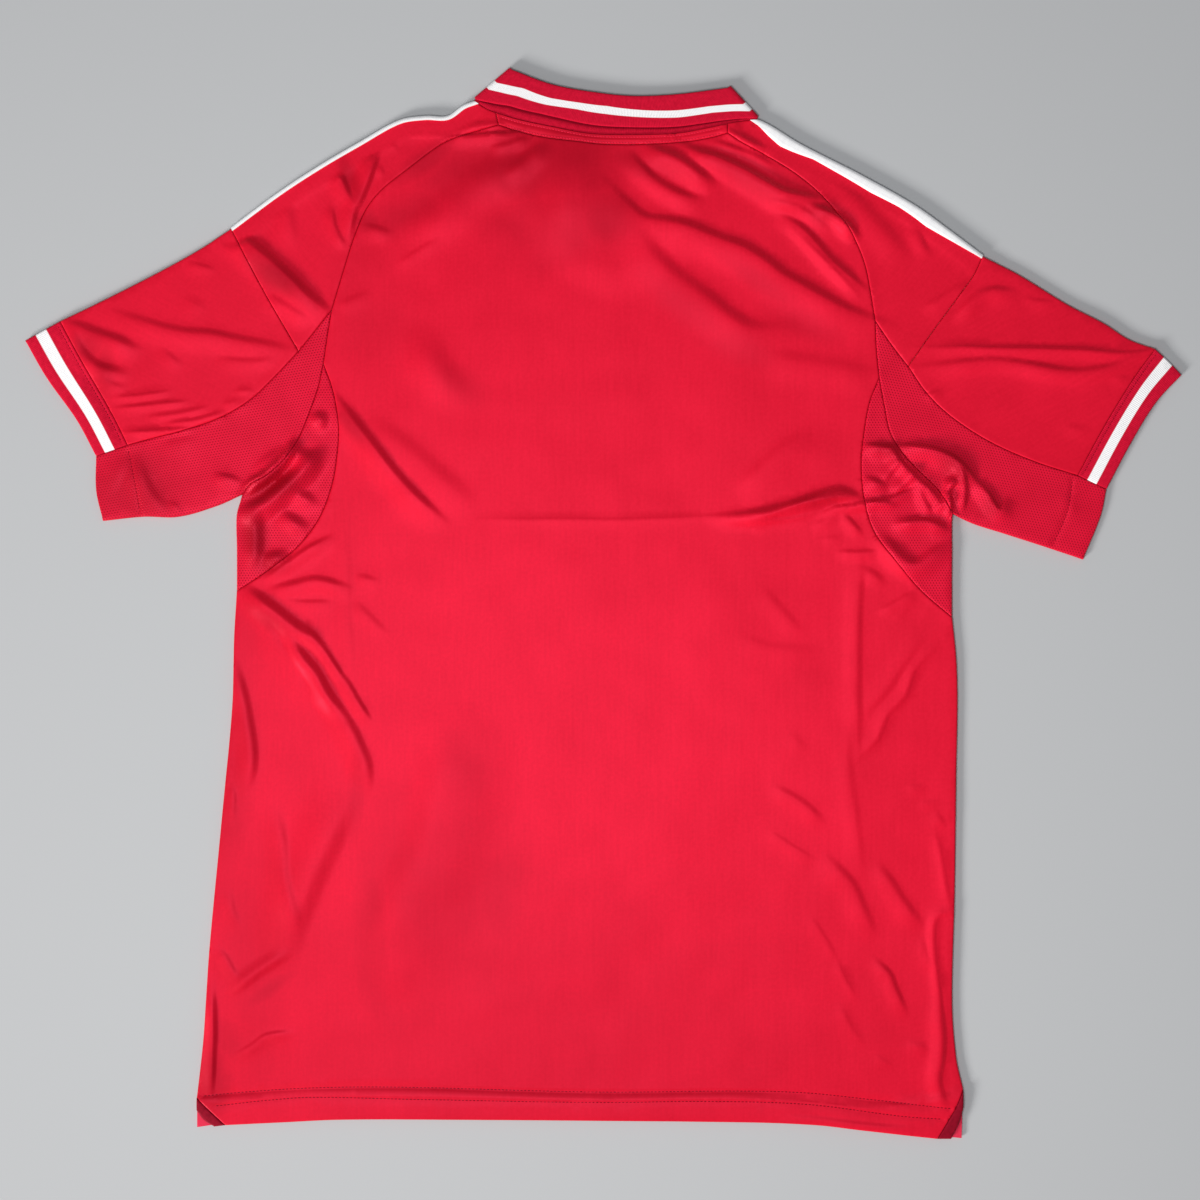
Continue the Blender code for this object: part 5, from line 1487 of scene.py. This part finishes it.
# %% Make a mesh of cloth
def cloth_object(name, cloth, points, faces, places, trim=None):
    """The object of a piece, with its UV map in millimetres and its finish.

    The trim of a rib piece has three numbers at each point: the place across its white stripe, 1
    where a stripe is knitted in, and how much painted shade it takes beside the fall's edge.
    """
    mesh = bpy.data.meshes.new(name)
    mesh.from_pydata((points * MM).tolist(), [], faces)
    corners = np.zeros(len(mesh.loops), int)
    mesh.loops.foreach_get("vertex_index", corners)
    mesh.uv_layers.new(name="cloth").data.foreach_set("uv", places[corners].ravel().astype(np.float32))
    if trim is not None:
        made = mesh.attributes.new("trim", "FLOAT_VECTOR", "POINT")
        made.data.foreach_set("vector", trim.ravel().astype(np.float32))
    mesh.shade_smooth()
    mesh.set_sharp_from_angle(angle=SMOOTH_UP_TO)
    mesh.materials.append(FINISHES[cloth])
    made = new_object(f"{name}_cloth", mesh)
    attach(made, "root")
    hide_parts(name)
    return made


def turned(points, degrees):
    """Places on the cloth: the first across the wales and the second along them.

    The height counts too, up to the upper skin, so that no place is stretched where a sleeve turns
    round its folded edge.
    """
    flat = points[:, :2] + np.minimum(points[:, 2:], 2 * WALL + GAP) * NOSE_STRETCH
    angle = math.radians(degrees)
    across = np.array((math.cos(angle), math.sin(angle)))
    along = np.array((-math.sin(angle), math.cos(angle)))
    return np.stack([flat @ across, flat @ along], axis=1)


def cuff_places(side, points):
    """Places on a cuff, along its edge and away from it, and its trim."""
    edge_away, along = nearest(CURVES[f"cuff_edge_{side}"], points[:, :2])
    seam_away = np.abs(nearest(CURVES[f"cuff_seam_{side}"], points[:, :2])[0])
    share = np.abs(edge_away) / (np.abs(edge_away) + seam_away)
    low, high = CUFF_STRIPES[side]
    trim = np.stack([(share - low) / (high - low), np.ones(len(points)), np.zeros(len(points))], axis=1)
    return np.stack([along, np.abs(edge_away)], axis=1), trim


# %% Make the pieces
made_pieces = {}
for piece in PIECES:
    for side in piece.sides:
        name, *names = sided(f"{piece.name} {piece.seams}", side)
        plan, points, faces = cloth_shell(names, piece.layer)
        trim = None
        if name.startswith("cuff"):
            places, trim = cuff_places(side, points)
        else:
            places = turned(points, piece.grain if side != "right" else -piece.grain)
        made = cloth_object(name, piece.cloth, points, faces, places, trim)
        made_pieces[name] = made
        if name == "front_panel":
            made.data.materials.append(SATIN_INSIDE)
            inside_faces = np.array([all(v >= len(points) // 2 for v in face) for face in faces])
            made.data.polygons.foreach_set("material_index", inside_faces.astype(np.int32))

# %% [markdown]
# ## The collar
#
# The collar is a strip of rib folded over, like a low polo collar: the stand is sewn into the neck
# and the fall lies over it. It is swept round the flattened neck as one closed ring. The section is
# a long hairpin, and it is carried along the back, round the tip, and down and up the front. A
# white stripe is knitted into the fall, so it is painted by a vertex attribute, from the rib's own
# rows, and it turns with the strip.

# %% The collar's section
TIP_SHARE = 0.12  # of the front's length: where the collar turns down at each tip
TIP_TURNS = (22.5, 45, 67.5, 90, 112.5, 135, 157.5)
TIP_RUN = 0.6  # how far the knit runs on from one section to the next round a tip
COLLAR_FOLD_STEP = 2.4
FALL_CREASE = 0.75  # how deep the stand is pressed in beside the edge of the fall
FALL_EDGE_PAINTED_SHADES = ((0.1, 1.0), (0.2, 0.7), (math.inf, 0.05))  # its painted shade beside the fall's edge, up to each share of the stand
# Along the collar: the shares of its width where the stripe starts and ends, and where the fall ends
Across = namedtuple("Across", "share low high fall")
COLLAR_BACK = [
    Across(0.00, 0.42, 0.640, 0.95), Across(0.04, 0.36, 0.570, 0.85), Across(0.10, 0.30, 0.510, 0.76),
    Across(0.22, 0.34, 0.525, 0.745), Across(0.34, 0.32, 0.490, 0.77), Across(0.46, 0.31, 0.510, 0.79),
    Across(0.63, 0.39, 0.577, 0.81), Across(0.75, 0.43, 0.620, 0.83), Across(0.87, 0.45, 0.640, 0.87),
    Across(1.00, 0.53, 0.760, 0.97),
]  # fmt: skip
COLLAR_FRONT = [
    Across(0.00, 0.53, 0.76, 0.97), Across(0.08, 0.40, 0.61, 0.87), Across(0.25, 0.35, 0.54, 0.81),
    Across(0.75, 0.35, 0.54, 0.81), Across(0.92, 0.38, 0.59, 0.86), Across(1.00, 0.42, 0.64, 0.95),
]  # fmt: skip


def at_shares(path, shares):
    """The points at these shares of a path's length."""
    run = run_along(path)
    return np.column_stack([np.interp(shares * run[-1], run, path[:, k]) for k in range(2)])


def arc(centre, reach, half, start, end, count):
    """Points of an ellipse about a centre, from one angle to another in degrees."""
    angles = np.radians(np.linspace(start, end, count))
    return [(centre[0] + reach * math.cos(a), centre[1] + half * math.sin(a)) for a in angles]


def collar_section(width, fall, end):
    """The hairpin: distance from the fold, and height from the middle of the ring, in pairs."""
    stand = (GAP / 2, GAP / 2 + RIB)
    over = (stand[1] + GAP, COLLAR_STACK)
    middle = (stand[0] + over[1]) / 2
    turn = fall + 0.8
    section = [(width, end - RIB / 2), ((width + turn) / 2, (stand[0] + end - RIB / 2) / 2), (turn, stand[0])]
    section += [(RIB + (turn - RIB) * t, stand[0]) for t in (0.75, 0.5, 0.25)]
    section += arc((RIB, middle), RIB, middle - stand[0], 270, 90, 9)
    section += [(RIB + (fall - RIB) * t, over[1]) for t in (0.1, 0.25, 0.4, 0.55, 0.7, 0.85, 0.95)]
    section += arc((fall - 0.3, (over[0] + over[1]) / 2), 0.75, RIB / 2, 70, -70, 5)
    section += [(fall - 1, over[0]), (RIB + GAP, over[0]), (RIB, middle), (RIB + GAP, stand[1])]
    room, rise = width - fall, end + RIB / 2 - stand[1]
    crease = min(FALL_CREASE, room / 5)
    section += [(fall - 0.8, stand[1]), (fall + 0.05 * room, stand[1] - crease)]
    section += [(fall + 0.17 * room, stand[1] - crease), (fall + 0.40 * room, stand[1] + 0.3 * rise)]
    return section + [(fall + 0.7 * room, stand[1] + 0.6 * rise), (width, end + RIB / 2)]


print("points round the collar's section:", len(collar_section(45, 36, 1)))

# %% Sweep the collar
def collar_half(seam, fold, is_front):
    """Stations along one half of the ring: fold, seam, section, the stripe's place and the fall's."""
    shares = np.linspace(0, 1, int(length_of(seam) / COLLAR_FOLD_STEP))
    stand, outside = GAP / 2 + RIB / 2, COLLAR_STACK - RIB / 2
    table = np.array(COLLAR_FRONT if is_front else COLLAR_BACK)
    stations = []
    for share, foot, top in zip(shares, at_shares(seam, shares), at_shares(fold, shares)):
        width = np.linalg.norm(foot - top)
        low, high, cover = (np.interp(share, table[:, 0], table[:, k]) for k in (1, 2, 3))
        end = stand
        if is_front:
            end += (outside - stand) * float(ease(min(share, 1 - share) / TIP_SHARE))
        section = collar_section(width, width * cover, end)
        stations.append((top, foot, section, width * low, width * high, width * cover))
    return stations


def swept_collar():
    """The points, faces, places and trim of the whole collar."""
    back_seam = aside(chain(["neck_left", "neck_back", "neck_right"])[0], GAP / 2)
    front_names = ["neck_right", "binding_end_right", "neck_front", "binding_end_left", "neck_left"]
    front_seam = aside(chain(front_names)[0], -GAP / 2)
    back = collar_half(back_seam, smooth(COLLAR_FOLD_BACK), False)
    front = collar_half(front_seam, smooth(COLLAR_FOLD_FRONT), True)
    points, places, trim, run = [], [], [], 0.0
    rows, last = 0, None
    for half, facing, end_side in ((back, 90, 1), (front, -90, -1)):
        turns = [(station, facing) for station in half]
        turns += [(half[-1], facing - end_side * turn) for turn in TIP_TURNS]
        for (top, foot, section, low, high, fall), angle in turns:
            along = (foot - top) / np.linalg.norm(foot - top)
            out = np.array((-along[1], along[0])) * end_side
            reach, rise = math.cos(math.radians(angle)), math.sin(math.radians(angle))
            run += TIP_RUN if last is None else max(TIP_RUN, np.linalg.norm(foot - last))
            last = foot
            for s, r in section:
                points.append((*(top + along * s + out * r * reach), COLLAR_STACK + r * rise))
                places.append((run, s))
                on_fall = r > (COLLAR_STACK + GAP / 2) / 2 + RIB / 2
                past = (s - fall) / (np.linalg.norm(foot - top) - fall)
                # Painted shade on the stand beside the fall's edge, fading further off
                shade = next(shade for end, shade in FALL_EDGE_PAINTED_SHADES if past < end)
                trim.append(((s - low) / (high - low), float(on_fall), 0.0 if on_fall else shade))
            rows += 1
    across = len(points) // rows
    numbers = [[k * across + i for i in range(across)] + [k * across] for k in range(rows)]
    return np.array(points), ring_quads(numbers + numbers[:1]), np.array(places), np.array(trim)


points, faces, places, trim = swept_collar()
collar = cloth_object("collar", "rib_knit", points, faces, places, trim)

# %% [markdown]
# ## The shoulder tapes
#
# A plain white tape is sewn over each shoulder, from the neck to the sleeve. It lies on the fold,
# so only a part of its width shows from above, and it has rolled a little off the line: it is a
# thin strip at the left and a wider one at the right. Its reach on top and underneath is a short
# table along the way. The tape follows the yoke under it, a little higher.

# %% Make the tapes
Reach = namedtuple("Reach", "share top under")
TAPE_REACH = {
    "left": [Reach(0, 2.4, 4), Reach(0.15, 2.4, 7), Reach(0.3, 2.4, 10), Reach(1, 2.2, 10)],
    "right": [
        Reach(0, 2.5, 3), Reach(0.06, 6.5, 4), Reach(0.12, 8.5, 5), Reach(0.25, 4.9, 7),
        Reach(0.50, 7.4, 6), Reach(0.62, 6.5, 7), Reach(0.75, 7.6, 6), Reach(1, 1.9, 4),
    ],
}  # fmt: skip
TAPE_ANGLES = np.radians((60, 30, 0, -30, -60))
TAPE_OUT = 0.12  # clearance between the tape and the yoke
TAPE_SHARES = (1.0, 0.93, 0.6, 0.3)  # of its reach on top, from its edge to the fold
TAPE_RIDGE = len(TAPE_SHARES)  # the number of the line along the fold
TAPE_DROP = 0.35  # how far its upper edge rolls down
LEAST_REACH = 0.6
TAPE_WIDTH = 12


def tape_skins(side):
    """The two skins of a tape as grids: along the shoulder, and across from the top to underneath."""
    names = sided(next(piece.seams for piece in PIECES if piece.name == "yoke"), side)
    points, owners = outline(names)
    turn = int((owners == names[0]).sum()) + 1
    edge, into = (moved[:turn] for moved in edge_of(points, owners, names[0]))
    shares = np.linspace(0, 1, turn)
    if side == "right":
        shares = 1 - shares
    table = TAPE_REACH[side]
    top, under = (np.interp(shares, [r.share for r in table], [r[k] for r in table]) for k in (1, 2))
    ridge = edge + into * WALL
    skins = []
    for out in (TAPE_OUT + TAPE, TAPE_OUT):
        rows = []
        for share in TAPE_SHARES:
            place = edge + into * (WALL + (np.maximum(top, WALL + LEAST_REACH) - WALL) * share)[:, None]
            drop = TAPE_DROP if share == 1.0 and out > TAPE else 0.0
            rows.append(with_heights(place, upper_layer(place)[1] + out - drop))
        high, low = upper_layer(ridge)[1] + out, TAPE + GAP - out
        rows.append(with_heights(ridge, high))
        for angle in TAPE_ANGLES:
            place = ridge - into * (WALL + out) * math.cos(angle)
            rows.append(with_heights(place, (low + high + (high - low) * math.sin(angle)) / 2))
        rows.append(with_heights(ridge, np.full(turn, low)))
        rows.append(with_heights(edge + into * under[:, None], np.full(turn, low)))
        skins.append(np.stack(rows, axis=1))
    return skins


def make_tape(name, side):
    """The object of a tape, the size that it is cut to and its area."""
    outer, inner = tape_skins(side)
    turn, across = outer.shape[:2]
    quads = ring_quads([range(k * across, (k + 1) * across) for k in range(turn)])
    no_faces = np.zeros((0, 3), int)
    points, faces = closed_wall(outer.reshape(-1, 3), inner.reshape(-1, 3), no_faces, quads)
    widths = np.linalg.norm(np.diff(outer, axis=1), axis=2).sum(axis=1)
    run = run_along(outer[:, TAPE_RIDGE])
    places = np.stack([np.repeat(run, across), np.tile(np.linspace(0, TAPE_WIDTH, across), turn)], axis=1)
    made = cloth_object(name, "white_tape", points, faces, np.vstack([places, places]))
    size = np.array((run[-1], widths.max())) * MM
    area = (np.diff(run) * (widths[1:] + widths[:-1])).sum() / 2 * MM**2
    return made, size, area


for side in SIDES:
    name = f"shoulder_tape_{side}"
    made_pieces[name], size, area = make_tape(name, side)
    print(f"{name}: {size.round(3)} m, {area:.5f} m2")

# %% [markdown]
# ## Thread
#
# A twin-needle hem shows two rows of short stitches, and the neck and the sleeve ends have rows as
# well. One stitch is a small rounded rod. It is modelled once, with few faces, and copied along
# each row, where it leans with the curve and lies half sunk in the dent that the row makes.

# %% One stitch
STITCH_LENGTH, STITCH_WIDTH, STITCH_HEIGHT = 2.0, 0.58, 0.464
STITCH_RISE = 0.1  # how far its middle lies outside the cloth
bpy.ops.object.select_all(action="DESELECT")
bpy.ops.mesh.primitive_uv_sphere_add(segments=6, ring_count=4, radius=0.5, rotation=(0, math.pi / 2, 0))
stitch = bpy.context.object
bpy.ops.object.transform_apply(location=False, rotation=True, scale=False)
bpy.ops.object.mode_set(mode="EDIT")
bpy.ops.mesh.select_all(action="SELECT")
bpy.ops.transform.resize(value=(STITCH_LENGTH, STITCH_WIDTH, STITCH_HEIGHT))
bpy.ops.object.mode_set(mode="OBJECT")
stitch_points = np.array([v.co[:] for v in stitch.data.vertices])
stitch_faces = [tuple(p.vertices) for p in stitch.data.polygons]
bpy.data.objects.remove(stitch)
print("faces of a stitch:", len(stitch_faces))

# %% Rows of thread
def skin_heights(points):
    """The height of the upper skin, with its ripples and dents."""
    return upper_layer(points)[1] + puckers(points) - row_dents(points, ROWS)


def thread_row(name, row, heights, rise):
    """The stitches of one row as one object, and how many they are."""
    length = length_of(row.curve)
    shares = (np.arange(int(length / row.pitch)) + 0.5) * row.pitch / length
    ends = [at_shares(row.curve, shares + step * STITCH_LENGTH / 2 / length) for step in (-1, 1)]
    low, high = (with_heights(end, heights(end)) for end in ends)
    points, faces = [], []
    for a, b in zip(low, high):
        middle = (a + b) / 2 + (0, 0, rise)
        run = (b - a) / np.linalg.norm(b - a)
        sideways = np.array((-run[1], run[0], 0)) / math.hypot(run[0], run[1])
        axes = np.array([run, sideways, np.cross(run, sideways)])
        faces += [tuple(v + len(points) * len(stitch_points) for v in face) for face in stitch_faces]
        points.append(middle + stitch_points @ axes)
    mesh = bpy.data.meshes.new(f"thread_{name}")
    mesh.from_pydata((np.vstack(points) * MM).tolist(), [], faces)
    mesh.shade_smooth()
    mesh.materials.append(LIT_THREAD if name.startswith("binding") else DARK_THREAD)
    made = new_object(f"thread_{name}", mesh)
    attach(made, "root")
    return made, len(points)


threads = {}
for rows, heights, rise in ((ROWS, skin_heights, STITCH_RISE), (FRONT_ROWS, floor_dents, -STITCH_RISE)):
    for name, row in rows.items():
        made, count = thread_row(name, row, heights, rise)
        threads.setdefault(row.piece, []).append(made)
        print(f"{made.name}: {count} stitches")
